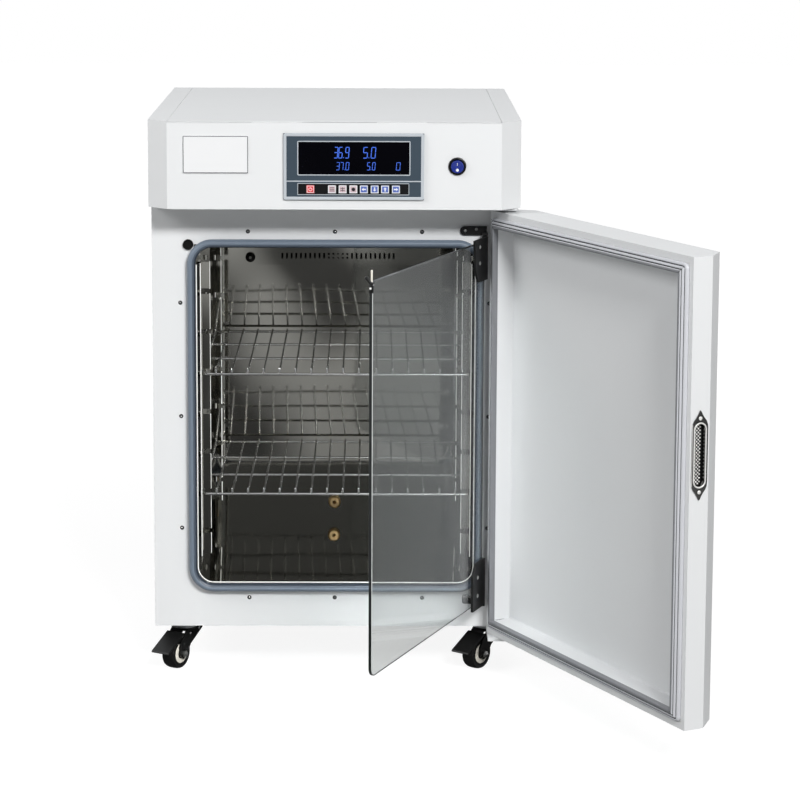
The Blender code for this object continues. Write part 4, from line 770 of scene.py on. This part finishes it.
def hood_details():
    rim = [(0.0, -0.0006), (0.0, 0.0004), (-0.0003, 0.0007), (-0.0036, 0.0007), (-0.0042, 0.0002), (-0.0042, -0.0006)]
    border = facing_front(PANEL, PANEL_FACE, 0.0030, rim, 4)
    piece("panel_border", [border], "cabinet", "silver")
    line = [
        (0.0015, -0.0003), (0.0015, 0.0002), (0.0013, 0.00035),
        (0.0002, 0.00035), (0.0001, 0.0001), (0.0001, -0.0003),
    ]
    edge = facing_front(WINDOW, PANEL_FACE, 0.0002, line, 2)
    piece("display_border", [edge], "cabinet", "pale_line")
    rule = plaque((0.0271, PANEL_FACE, 0.7286), X, Z, -Y, 0.0940, 0.0008, 0.0004, 0.00025, 0.0001, 2)
    edge = [(-0.0008, -0.0002), (-0.0008, 0.00025), (0.0, 0.00025), (0.0, -0.0002)]
    strip = framed((0.02655, PANEL_FACE, KEY_Z + 0.0002), X, Z, -Y, 0.07805, 0.0083, 0.0008, edge, 2)
    piece("panel_lines", [rule, strip], "cabinet", "pale_line")
    key_strip()
    rim = [(-0.0004, -0.0003), (-0.0004, 0.0001), (-0.0013, 0.0001), (-0.0013, -0.0003)]
    rule = facing_front(NAMEPLATE, NAMEPLATE_FACE, 0.0016, rim, 4)
    piece("nameplate_border", [rule], "cabinet", "label_edge")


def key_strip():
    """A film with a square hole at each key: a ring of four loops between hole and cell."""
    left, right, bottom, top = KEY_FILM
    back, front = -0.0704, -0.07075
    edges = [left] + [(a + b) / 2 for a, b in zip(KEY_X[:-1], KEY_X[1:])] + [right]
    hole = KEY_HALF + 0.0002
    corner = np.array([(1, 1), (-1, 1), (-1, -1), (1, -1)])
    parts = []
    for x, low, high in zip(KEY_X, edges[:-1], edges[1:]):
        inner = np.stack([x + hole * corner[:, 0], KEY_Z + hole * corner[:, 1]], 1)
        outer = np.stack([np.where(corner[:, 0] > 0, high, low), np.where(corner[:, 1] > 0, top, bottom)], 1)
        rows = [np.stack([loop[:, 0], np.full(4, y), loop[:, 1]], 1)
                for loop, y in ((inner, back), (inner, front), (outer, front), (outer, back))]
        parts.append(skinned(np.array(rows), ring=True))
    piece("key_film", parts, "cabinet", "key_strip")


# The bars that each figure of the display lights, of those it uses
SEGMENTS = {"0": "abcdef", "3": "abgcd", "5": "afgcd", "6": "afgedc", "7": "abc", "9": "abcdfg"}


def digit_row(text, left, right, low, high):
    """Seven-segment figures: each lit bar is a hexagon, leaned over by a twelfth of its height."""
    advance = [0.45 if c == "." else 1.0 for c in text]
    pitch = (right - left) / (sum(advance) - 0.22)
    width, height = 0.74 * pitch, high - low
    thick = 0.072 * height
    bars = {
        "a": ((0, 1), (1, 1)), "b": ((1, 1), (1, 0.5)), "c": ((1, 0.5), (1, 0)), "d": ((0, 0), (1, 0)),
        "e": ((0, 0.5), (0, 0)), "f": ((0, 1), (0, 0.5)), "g": ((0, 0.5), (1, 0.5)),
    }
    parts, x = [], left
    for c, step in zip(text, advance):
        if c == ".":
            dot = np.array([(0, 0), (1, 0), (1, 1), (0, 1)]) * thick + (x, low)
            parts.append(dot)
        for bar_name in SEGMENTS.get(c, ""):
            start, end = [np.array(p, float) * (width, height) for p in bars[bar_name]]
            along = (end - start) / np.linalg.norm(end - start)
            side = np.array([-along[1], along[0]]) * thick / 2
            start, end = start + 0.12 * thick * along, end - 0.12 * thick * along
            nib = along * thick / 2
            hexagon = [start, start + nib + side, end - nib + side, end, end - nib - side, start + nib - side]
            parts.append(np.array(hexagon) + (x, low))
        x += step * pitch
    leaned = [p + np.stack([(p[:, 1] - low) / 12, np.zeros(len(p))], 1) for p in parts]
    return [flat_mark(p, DIGIT_FACE, 0.00022) for p in leaned]


def display_digits():
    """Typical readings, the measured row large and the set row small."""
    rows = (
        (0.7612, 0.7762, (("36.9", -0.0007, 0.0200), ("5.0", 0.0400, 0.0570))),
        (0.7445, 0.7550, (("37.0", 0.0025, 0.0200), ("5.0", 0.0456, 0.0566), ("0", 0.0862, 0.0916))),
    )
    parts = []
    for low, high, numbers in rows:
        for text, left, right in numbers:
            parts += digit_row(text, left, right, low, high)
    piece("display_digits", parts, "cabinet", "digits")


def ring_mark(x, z, outer, inner, front, gap=0.0):
    """A printed ring, open at its top by the gap angle."""
    a = np.linspace(np.pi / 2 + gap, 5 * np.pi / 2 - gap, 25)
    out = np.stack([x + outer * np.cos(a), z + outer * np.sin(a)], 1)
    back = np.stack([x + inner * np.cos(a), z + inner * np.sin(a)], 1)[::-1]
    return flat_mark(np.concatenate([out, back]), front)


def block_mark(x, z, half_w, half_h, front):
    corners = [(x - half_w, z - half_h), (x + half_w, z - half_h), (x + half_w, z + half_h), (x - half_w, z + half_h)]
    return flat_mark(corners, front)


def arrow_mark(x, z, way, front):
    """A solid arrow: a triangle and a short stem, turned to point along way."""
    base = np.array([
        (0.0030, 0.0), (0.0004, 0.0024), (0.0004, 0.0009), (-0.0028, 0.0009),
        (-0.0028, -0.0009), (0.0004, -0.0009), (0.0004, -0.0024),
    ])
    turn = np.array([[way[0], way[1]], [-way[1], way[0]]])
    return flat_mark(base @ turn + (x, z), front)


def key_marks(name, x, front):
    """A key's generic symbol: a power sign, three bars, a grid, a dot in a ring, or an arrow."""
    if name == "power":
        return [ring_mark(x, KEY_Z, 0.0026, 0.0019, front, 0.6), block_mark(x, KEY_Z + 0.0018, 0.0003, 0.0013, front)]
    if name == "menu":
        return [block_mark(x, KEY_Z + d, 0.0030, 0.0004, front) for d in (0.0022, 0.0, -0.0022)]
    if name == "mode":
        bars = [block_mark(x, KEY_Z + d, 0.0030, 0.0004, front) for d in (0.0013, -0.0013)]
        return bars + [block_mark(x, KEY_Z, 0.0004, 0.0030, front)]
    if name == "set":
        return [ring_mark(x, KEY_Z, 0.0026, 0.0018, front), block_mark(x, KEY_Z, 0.0007, 0.0007, front)]
    way = {"left": (-1, 0), "right": (1, 0), "up": (0, 1), "down": (0, -1)}[name]
    return [arrow_mark(x, KEY_Z, way, front)]


def key_edge(x, inset, radius, width):
    """The printed line round a key's cap."""
    half = KEY_HALF - inset
    rim = [(0.0, -0.0003), (0.0, 0.00012), (-width, 0.00016), (-width, -0.0003)]
    return framed((x, KEY_FACE, KEY_Z), X, Z, -Y, half, half, radius, rim, 3)


def control_keys():
    section = [(0.0, 0.0), (0.0, 0.0037), (-0.0001, 0.00395), (-0.0004, 0.0041), (-0.0012, 0.00418), (-0.0040, 0.00425)]
    for name, x in zip(KEY_NAMES, KEY_X):
        cad = "key_" + name
        body = cad + "_cap"
        cap = framed((x, HOOD_FACE, KEY_Z), X, Z, -Y, KEY_HALF, KEY_HALF, 0.0011, section, 4, ring=False)
        made = piece(cad + "_film", [cap], body, FINISH_OF[cad], sharp=50)
        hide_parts(cad)
        marks = key_marks(name, x, KEY_FACE - 0.00026)
        if name == "power":
            marks = [key_edge(x, 0.0006, 0.0008, 0.0007)] + marks
        print_key = "mark_dark" if name in ("menu", "mode", "set") else "mark_white"
        piece(cad + "_mark", marks, body, print_key)
        if name != "power":
            piece(cad + "_border", [key_edge(x, 0.0001, 0.0009, 0.0012)], body, "mark_white")


def rocker():
    """A round button dished across its middle: level = -dish (1 - (y / R)^2), tipped with the switch."""
    radius, top = 0.009, -0.0070
    pivot = HOOD_FACE + 0.0016
    tilt = math.radians(6.0)

    def tipped(part):
        """From the button's own frame, its axle at zero, to the cabinet's."""
        x, y, z = np.moveaxis(np.array(part[0], float), -1, 0)
        y = y + 0.0007 * (1 - (z / radius) ** 2)
        turned = (y * math.cos(tilt) - z * math.sin(tilt), y * math.sin(tilt) + z * math.cos(tilt))
        return np.stack([x + SWITCH[0], turned[0] + pivot, turned[1] + SWITCH[1]], -1), part[1]

    s = np.array([0.0, 0.2, 0.4, 0.6, 0.75, 0.87, 0.95, 1.0, 1.0, 1.0])
    drop = np.array([0, 0, 0, 0, 0, 0.00005, 0.0002, 0.0008, 0.004, 0.0125])
    a = np.linspace(0.0, 2 * np.pi, 40, endpoint=False)
    ss, aa = np.meshgrid(s, a, indexing="ij")
    level = np.broadcast_to(top + drop[:, None], ss.shape)
    rows = np.stack([radius * ss * np.cos(aa), level, radius * ss * np.sin(aa)], -1)
    made = piece("power_rocker", [tipped(skinned(rows))], "rocker", "rocker")
    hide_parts("switch_rocker")
    front = top - 0.0001
    marks = [ring_mark(0.0, -0.0042, 0.0021, 0.0014, front), block_mark(0.0, 0.0042, 0.00035, 0.0021, front)]
    piece("rocker_marks", [tipped(mark) for mark in marks], "rocker", "mark_white")


def switch_ring():
    section = [
        (0.0098, -0.0176), (0.0098, 0.0029), (0.0103, 0.0033), (0.0112, 0.0033), (0.0122, 0.0027),
        (0.0125, 0.0020), (0.0125, 0.0003), (0.0110, 0.0003), (0.0110, -0.0176),
    ]
    ring = lathe(section, (SWITCH[0], HOOD_FACE, SWITCH[1]), -Y, 64, ring=True)
    made = piece("switch_ring", [ring], "cabinet", "black_mould")
    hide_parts("switch_bezel")


# ---- Chamber ----

def wire_shelves():
    """Rail: one bar bent round three sides. Wires: bars with the front end turned up."""
    for name, level in SHELVES.items():
        corners = [(-RAIL_X, 0.4055), (-RAIL_X, 0.019), (RAIL_X, 0.019), (RAIL_X, 0.4055)]
        parts = [bar(rounded_path([(x, y, level) for x, y in corners], 0.010, 8), 0.002, Z, 16)]
        for y in (0.148, 0.270, 0.387):
            parts.append(bar([(x, y, level) for x in (-RAIL_X, 0.0, RAIL_X)], 0.0019, Z, 14, dome=False))
        high = level + 0.0028
        for k in range(16):
            x = 0.0229 * (k - 7.5)
            path = rounded_path([(x, 0.3905, high), (x, 0.0145, high), (x, 0.0145, high + 0.006)], 0.0022, 5)
            parts.append(bar(path, 0.0015, X, 12))
        made = piece(name + "_wires", parts, BODY_OF[name], "wire", sharp=60)
        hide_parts(name)


def duct_knob():
    x, y, z = -0.136, 0.350, 0.5615
    cap = [
        (0.0, 0.0062), (0.0030, 0.0062), (0.0058, 0.0058), (0.0072, 0.0048),
        (0.0075, 0.0040), (0.0075, 0.0008), (0.0068, 0.0), (0.0, 0.0),
    ]
    knob = lathe(cap, (x, y, z), -Y, 72, lobes=24, lobe=0.018)
    piece("duct_knob", [knob], "cabinet", "black_mould")
    hardware("duct_knob_screw", [cross_screw((x, y - 0.0062, z), -Y, 0.0022, 0.0006)])
    hardware("duct_screws", [cross_screw((side, y, 0.6155), -Y, 0.0024, 0.0010, side) for side in (-0.120, 0.120)])


def between_notches(low, high, half_gap):
    """The stretches of a post between low and high that its notches leave."""
    middles = [NOTCH_LOW + NOTCH_PITCH * k for k in range(NOTCHES)]
    ends = [low] + [z + d for z in middles for d in (-half_gap, half_gap)] + [high]
    return list(zip(ends[::2], ends[1::2]))


def post_edge_highlights():
    """Painted highlights: glowing bars along each notched web's rolled edge, broken at the notches, and along each
    post's flange.
    """
    low, high = 0.1706, 0.6000
    parts = []
    for side in (-1, 1):
        lines = [(x, y, *span) for x, y in ((0.1808, 0.0313), (0.1829, 0.3712))
                 for span in between_notches(low, high, 0.0040)]
        parts += [bar([(side * x, y, z) for z in (start, (start + end) / 2, end)], 0.0007, X, 10)
                  for x, y, start, end in lines]
        parts += [bar([(side * 0.1930, y, z) for z in (low, (low + high) / 2, high)], 0.0007, X, 8)
                  for y in (0.0118, 0.3920)]
    piece("post_edge_highlights", parts, "cabinet", "glint", sharp=60)


def post_gap_shadows():
    """Painted shadow: a dark strip over the gap between each front post's face and the chamber's side."""
    strips = []
    for side in (-1, 1):
        for low, high in between_notches(0.1713, 0.5993, 0.0042):
            centre = (side * 0.1967, 0.0119, (low + high) / 2)
            strips.append(plaque(centre, X, Z, -Y, 0.0029, (high - low) / 2, 0.0002, 0.0004, 0.0001, 2))
    piece("post_gap_shadows", strips, "cabinet", "black_mould")


def post_rivets():
    dome = [(0.0, 0.0011), (0.0012, 0.0009), (0.0021, 0.0004), (0.0024, 0.0), (0.0024, -0.0004), (0.0, -0.0004)]
    parts = [lathe(dome, (side * 0.1982, y, z), (-side, 0, 0), 20)
             for side in (-1, 1) for y in (0.0205, 0.3835) for z in (0.186, 0.385, 0.588)]
    piece("post_rivets", parts, "cabinet", "rivet")


# ---- Glass door ----

def glass_sheet():
    """A flat pane with arrised edges: faces of tinted glass, rim of dark ground glass, and a painted highlight on the
    free edge.
    """
    section = [(-0.0006, 0.0), (0.0, 0.0006), (0.0, 0.0043), (-0.0007, 0.0050)]
    points, faces = with_glass(facing_front(PANE, PANE_BACK, 0.012, section, 10, ring=False))
    made = piece("tinted_glass", [(points, faces)], "glass_door", "glass", sharp=20)
    sizes = np.array([len(face.vertices) for face in made.data.polygons])
    row = np.arange(len(sizes)) // (len(points) // len(section))
    free_edge = np.abs(shut_centres(made, GLASS_AXIS, GLASS_OPEN)[:, 0] - PANE[0]) < 0.004
    # The free edge's middle row is a painted highlight.
    paint_faces(made, ("glass_edge", "arris"), np.where(sizes > 4, 0, np.where((row == 2) & free_edge, 2, 1)))
    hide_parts("glass_pane")


def glass_fittings():
    x, _ = GLASS_AXIS
    places = [(x - u, z) for u, z in ((0.036, 0.611), (0.036, 0.634), (0.034, 0.128), (0.034, 0.155))]
    parts = [with_glass(cross_screw((x, -0.0235, z), -Y, 0.0030, 0.0012, z)) for x, z in places]
    hardware("clamp_screws", parts, "glass_door")
    block = plaque((-0.2130, -0.0190, 0.6290), Z, -Y, -X, 0.0050, 0.0030, 0.0010, 0.0012, 0.0004, 3)
    clip = bar([(-0.2128, -0.0190, 0.6360), (-0.2128, -0.0155, 0.6395), (-0.2128, -0.0120, 0.6430)], 0.0025, X, 12)
    made = piece("catch_lever", [with_glass(part) for part in (block, clip)], "glass_door", "black_coat")
    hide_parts("glass_catch")
    stud = [(0.0, 0.0012), (0.0009, 0.0010), (0.0014, 0.0004), (0.0014, -0.0004), (0.0, -0.0004)]
    # The catch stud is a glowing painted highlight.
    hardware("catch_stud", [with_glass(lathe(stud, (-0.2145, -0.0180, 0.6300), -X, 16))], "glass_door", "glint")
    sleeve = [(0.0, 0.0158), (0.0008, 0.0156), (0.0013, 0.0150), (0.00125, 0.0), (0.0, 0.0)]
    piece("catch_pull", [with_glass(lathe(sleeve, PULL, Z, 14))], "glass_door", "cream")
    places = ((0.2016, 0.6527, 0.3), (0.1858, 0.6505, 0.9))
    hardware("bracket_screws", [cross_screw((x, -0.0033, z), -Y, 0.0022, 0.0009, spin) for x, z, spin in places])
    pin = [(0.0, 0.0148), (0.0020, 0.0144), (0.0024, 0.0134), (0.0024, 0.0006), (0.0018, 0.0), (0.0, 0.0)]
    hardware("bottom_stop", [lathe(pin, (0.1832, -0.0052, 0.1155), X, 24)], key="rivet")


# ---- Outer door ----

def gasket_profile():
    """(distance in from the outer edge, height): a dart foot, two bellows ribs and a magnet chamber."""
    return np.array([
        (0.0000, 0.0), (0.0000, 0.0012), (0.0004, 0.0026), (0.0012, 0.0039), (0.0022, 0.0046), (0.0031, 0.0047),
        (0.0037, 0.0042), (0.0041, 0.0030), (0.0045, 0.0029), (0.0049, 0.0042), (0.0056, 0.0060), (0.0064, 0.0068),
        (0.0073, 0.0069), (0.0080, 0.0064), (0.0084, 0.0050), (0.0088, 0.0049), (0.0092, 0.0064), (0.0099, 0.0080),
        (0.0108, 0.0086), (0.0128, 0.0087), (0.0137, 0.0083), (0.0140, 0.0074), (0.0140, 0.0),
    ])


def door_gasket():
    """The profile carried round the door's rim, with painted shade in its grooves and on its high inner band, and a
    fine line at each mitre.
    """
    half = DOOR_HALF - DOOR_RIM
    low, high = DOOR_LOW + DOOR_RIM, DOOR_HIGH - DOOR_RIM
    middle, half_h = (low + high) / 2, (high - low) / 2
    profile = gasket_profile()
    section = [(-w, h) for w, h in profile]
    ring = framed((0.0, DOOR_INNER + 0.0003, middle), X, Z, Y, half, half_h, 0.0080, section, 6)
    made = piece("bellows_gasket", [with_door(ring)], "outer_door", "gasket", sharp=60)
    local = shut_centres(made, DOOR_AXIS, DOOR_OPEN)
    inward = np.minimum(half - np.abs(local[:, 0]), half_h - np.abs(local[:, 2] - middle))
    # Painted shade: the grooves and the inner band get dark copies of the gasket's grey
    groove = (np.abs(inward - 0.0043) < 0.00045) | (np.abs(inward - 0.0086) < 0.00045)
    paint_faces(made, ("gasket_groove", "gasket_inner_shade"), np.where(groove, 1, np.where(inward > 0.0101, 2, 0)))
    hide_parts("door_gasket")
    mitres = []
    for sx in (-1, 1):
        for sz in (-1, 1):
            corner = np.array([sx * half, DOOR_INNER, middle + sz * half_h])
            path = [corner + np.array([-sx * w, h + 0.0004, -sz * w]) for w, h in profile[4:21]]
            mitres.append(with_door(bar(path, 0.00022, (sx * 0.7071, 0.0, -sz * 0.7071), 6)))
    piece("gasket_mitres", mitres, "outer_door", "gasket_groove")


def pan_folds():
    """The welded folds at the pan's inner corners: a thin line of painted shade down each."""
    pan = DOOR_HALF - DOOR_PAN_EDGE
    low, high = DOOR_LOW + DOOR_PAN_EDGE, DOOR_HIGH - DOOR_PAN_EDGE
    near, far = DOOR_INNER - 0.0012, DOOR_INNER - 0.0236
    parts = []
    for x, sx in ((-pan, 1), (pan, -1)):
        for z, sz in ((low, 1), (high, -1)):
            line = [(x + sx * 0.0009, y, z + sz * 0.0009) for y in (near, (near + far) / 2, far)]
            parts.append(with_door(bar(line, 0.00045, X, 8)))
    piece("pan_corner_fold_shade", parts, "outer_door", "shade")


def handle_details():
    """A grip of staggered domes on the cup's floor, a raised lip round the cup, a screw above and one below; the floor
    between the domes is painted shade, and the domes, lip, screws and a bar along the plate's side are painted
    highlights.
    """
    y, z = HANDLE
    face = -DOOR_HALF - 0.0018
    screws = [with_door(cross_screw((face, y, z + dz), -X, 0.0026, 0.0009, 0.5)) for dz in (-0.048, 0.048)]
    hardware("handle_screws", screws, "outer_door", "grip_painted_highlight")
    bed = plaque((-DOOR_HALF + 0.0066, y, z), -Y, Z, -X, 0.0076, 0.0406, 0.0075, 0.0008, 0.0002, 6)
    piece("handle_grip_bed", [with_door(bed)], "outer_door", "grip_painted_shade")
    dome = [(0.0, 0.0009), (0.0005, 0.0008), (0.0010, 0.0004), (0.0013, -0.0001), (0.0, -0.0002)]
    domes = []
    for k in range(-16, 17):
        up = 0.00238 * k
        for side in ((0.0052, 0.0004, -0.0044) if k % 2 else (0.0028, -0.0020)):
            if np.hypot(side, max(abs(up) - 0.0330, 0.0)) < 0.0066:
                domes.append(with_door(lathe(dome, (-DOOR_HALF + 0.0058, y + side, z + up), -X, 12)))
    piece("handle_grip", domes, "outer_door", "grip_painted_highlight")
    # Painted highlight: a bright bar along the plate's side edge
    side = [(face + 0.0003, y + 0.0116, z + dz) for dz in (-0.0400, 0.0, 0.0400)]
    piece("handle_plate_edge_highlight", [with_door(bar(side, 0.0004, X, 8))], "outer_door", "grip_painted_highlight")
    rim = []
    for grow, level in ((0.0, 0.0), (0.0004, 0.0006), (0.0011, 0.0009), (0.0018, 0.0006), (0.0021, 0.0)):
        loop = outline(0.0078 + grow, 0.0408 + grow, 0.0077 + grow, 10)
        rim.append(np.stack([np.full(len(loop), face - level), y + loop[:, 0], z + loop[:, 1]], 1))
    rim += [rim[-1] + 0.0006 * X, rim[0] + 0.0006 * X]
    lip = with_door(skinned(np.array(rim), ring=True))
    piece("handle_lip", [lip], "outer_door", "grip_painted_highlight", sharp=50)


def hinge_pins():
    x, y = DOOR_AXIS
    dome = [(0.0, 0.0018), (0.0016, 0.0017), (0.0031, 0.0010), (0.0036, 0.0), (0.0036, -0.0004), (0.0, -0.0004)]
    hardware("hinge_pin_head", [lathe(dome, (x, y, 0.0585), -Z, 28)])
    shim = plaque((x + 0.0018, -0.0205, 0.6770), X, Z, -Y, 0.0040, 0.0040, 0.0006, 0.0006, 0.0002, 2)
    piece("hinge_shim", [shim], "cabinet", "black_mould")


# ---- Casters ----

def both_sides(profile, place, sides, **shape):
    """A caster's turned part on each end of its axle."""
    return [at_caster(lathe(profile, (TRAIL, 0.0, WHEEL_RADIUS), (0, side, 0), sides, **shape), place)
            for side in (-1, 1)]


def casters():
    w = WHEEL_HALF
    tread = [(WHEEL_RADIUS - 0.0012 * abs(t) ** 4 - 0.0002 * t * t, w * t) for t in np.linspace(-1, 1, 13)]
    face = [
        (0.0205, w), (0.0195, w - 0.0002), (0.0178, w - 0.0006), (0.0160, w - 0.0006), (0.0150, w - 0.0003),
        (0.0080, w - 0.0012), (0.0072, w - 0.0006), (0.0070, w + 0.0010), (0.0040, w + 0.0010),
    ]
    profile = [(a, -b) for a, b in reversed(face)] + tread + face
    profile += [(0.0033, w + 0.0010), (0.0033, -w - 0.0010), (0.0040, -w - 0.0010)]
    hub = [
        (0.0078, w - 0.0014), (0.0078, w - 0.0002), (0.0084, w + 0.0006), (0.0100, w + 0.0008),
        (0.0138, w + 0.0006), (0.0147, w), (0.0147, w - 0.0014),
    ]
    nut = [
        (0.0, 0.0205), (0.0018, 0.0204), (0.0028, 0.0198), (0.0030, 0.0186), (0.0046, 0.0182),
        (0.0048, 0.0176), (0.0048, 0.0146), (0.0046, 0.0142), (0.0, 0.0142),
    ]
    dome = [(0.0, 0.0013), (0.0012, 0.0011), (0.0020, 0.0005), (0.0023, 0.0), (0.0023, -0.0004), (0.0, -0.0004)]
    race = [(0.0150, 0.0590), (0.0200, 0.0592), (0.0212, 0.0610), (0.0212, 0.0640), (0.0205, 0.0653), (0.0150, 0.0655)]
    for place in CASTERS:
        wheel = lathe(profile, (TRAIL, 0.0, WHEEL_RADIUS), Y, 56, ring=True)
        made = piece("wheel_" + place, [at_caster(wheel, place)], "wheel_" + place, "tread", sharp=40)
        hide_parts("caster_wheel_" + place)
        rings = both_sides(hub, place, 48, ring=True)
        piece("hub_ring_" + place, rings, "wheel_" + place, "cream")
        hardware("axle_nuts_" + place, both_sides(nut, place, 36, lobes=6, lobe=0.05), "fork_" + place)
        rivets = [at_caster(lathe(dome, (x, side * 0.0142, z), (0, side, 0), 20), place)
                  for side in (-1, 1) for x, z in ((-0.0175, 0.0530), (0.0050, 0.0500))]
        hardware("fork_rivets_" + place, rivets, "fork_" + place, "rivet")
        bearing = at_caster(lathe(race, (0.0, 0.0, 0.0), Z, 40, ring=True), place)
        hardware("swivel_race_" + place, [bearing], "fork_" + place, "zinc")


# ---- Floor ----

def white_floor():
    """A wide sheet, white to the camera with a faint shadow. Mirrors see it grey with darker strips."""
    made = bpy.data.materials.new("white_floor")
    made.use_nodes = True
    tree = made.node_tree
    tree.nodes.clear()
    place = node(tree, "TexCoord").outputs["Object"]
    far = node(tree, "VectorMath", {0: place}, operation="LENGTH").outputs["Value"]
    glow = node(tree, "Emission", {"Color": (1, 1, 1, 1), "Strength": ranged(tree, far, (0.8, 2.6), (0.90, 1.0))})
    shadow = node(tree, "BsdfDiffuse", {"Color": (0.22, 0.22, 0.22, 1)})
    seen = node(tree, "AddShader", {0: glow.outputs[0], 1: shadow.outputs[0]})
    stretched = node(tree, "VectorMath", {0: place, 1: (3.4, 0.45, 1.0)}, operation="MULTIPLY").outputs[0]
    strips = ranged(tree, noise(tree, stretched, 1.0, 0.0), (0.40, 0.56), (0.04, 0.26))
    met = node(tree, "BsdfDiffuse", {"Color": mirror_mix(tree, 0.46, strips)})
    show(tree, seen, met, "OutputMaterial")
    size, below = 12.0, -0.0004
    corners = [(-size, -size, below), (size, -size, below), (size, size, below), (-size, size, below)]
    mesh = bpy.data.meshes.new("floor")
    mesh.from_pydata(corners, [], [(0, 1, 2, 3)])
    mesh.materials.append(made)
    floor = bpy.data.objects.new("floor", mesh)
    bpy.context.scene.collection.objects.link(floor)


bpy.context.scene.view_settings.view_transform = "Standard"
photo_camera()
studio_world(0.16, 0.12)
studio_lamp("key_lamp", (0.28, -0.80, 0.51), 7.0, (2.2, 0.95), 410.0)
studio_lamp("left_lamp", (-0.75, -0.35, 0.56), 4.5, (1.8, 1.8), 76.0)
white_floor()
dress_cad_nodes()
round_the_sheet_metal()
front_screws()
back_screws()
chamber_seal()
liner_edge_highlight()
hood_details()
display_digits()
control_keys()
rocker()
switch_ring()
wire_shelves()
duct_knob()
post_edge_highlights()
post_gap_shadows()
post_rivets()
glass_sheet()
glass_fittings()
door_gasket()
pan_folds()
handle_details()
hinge_pins()
casters()
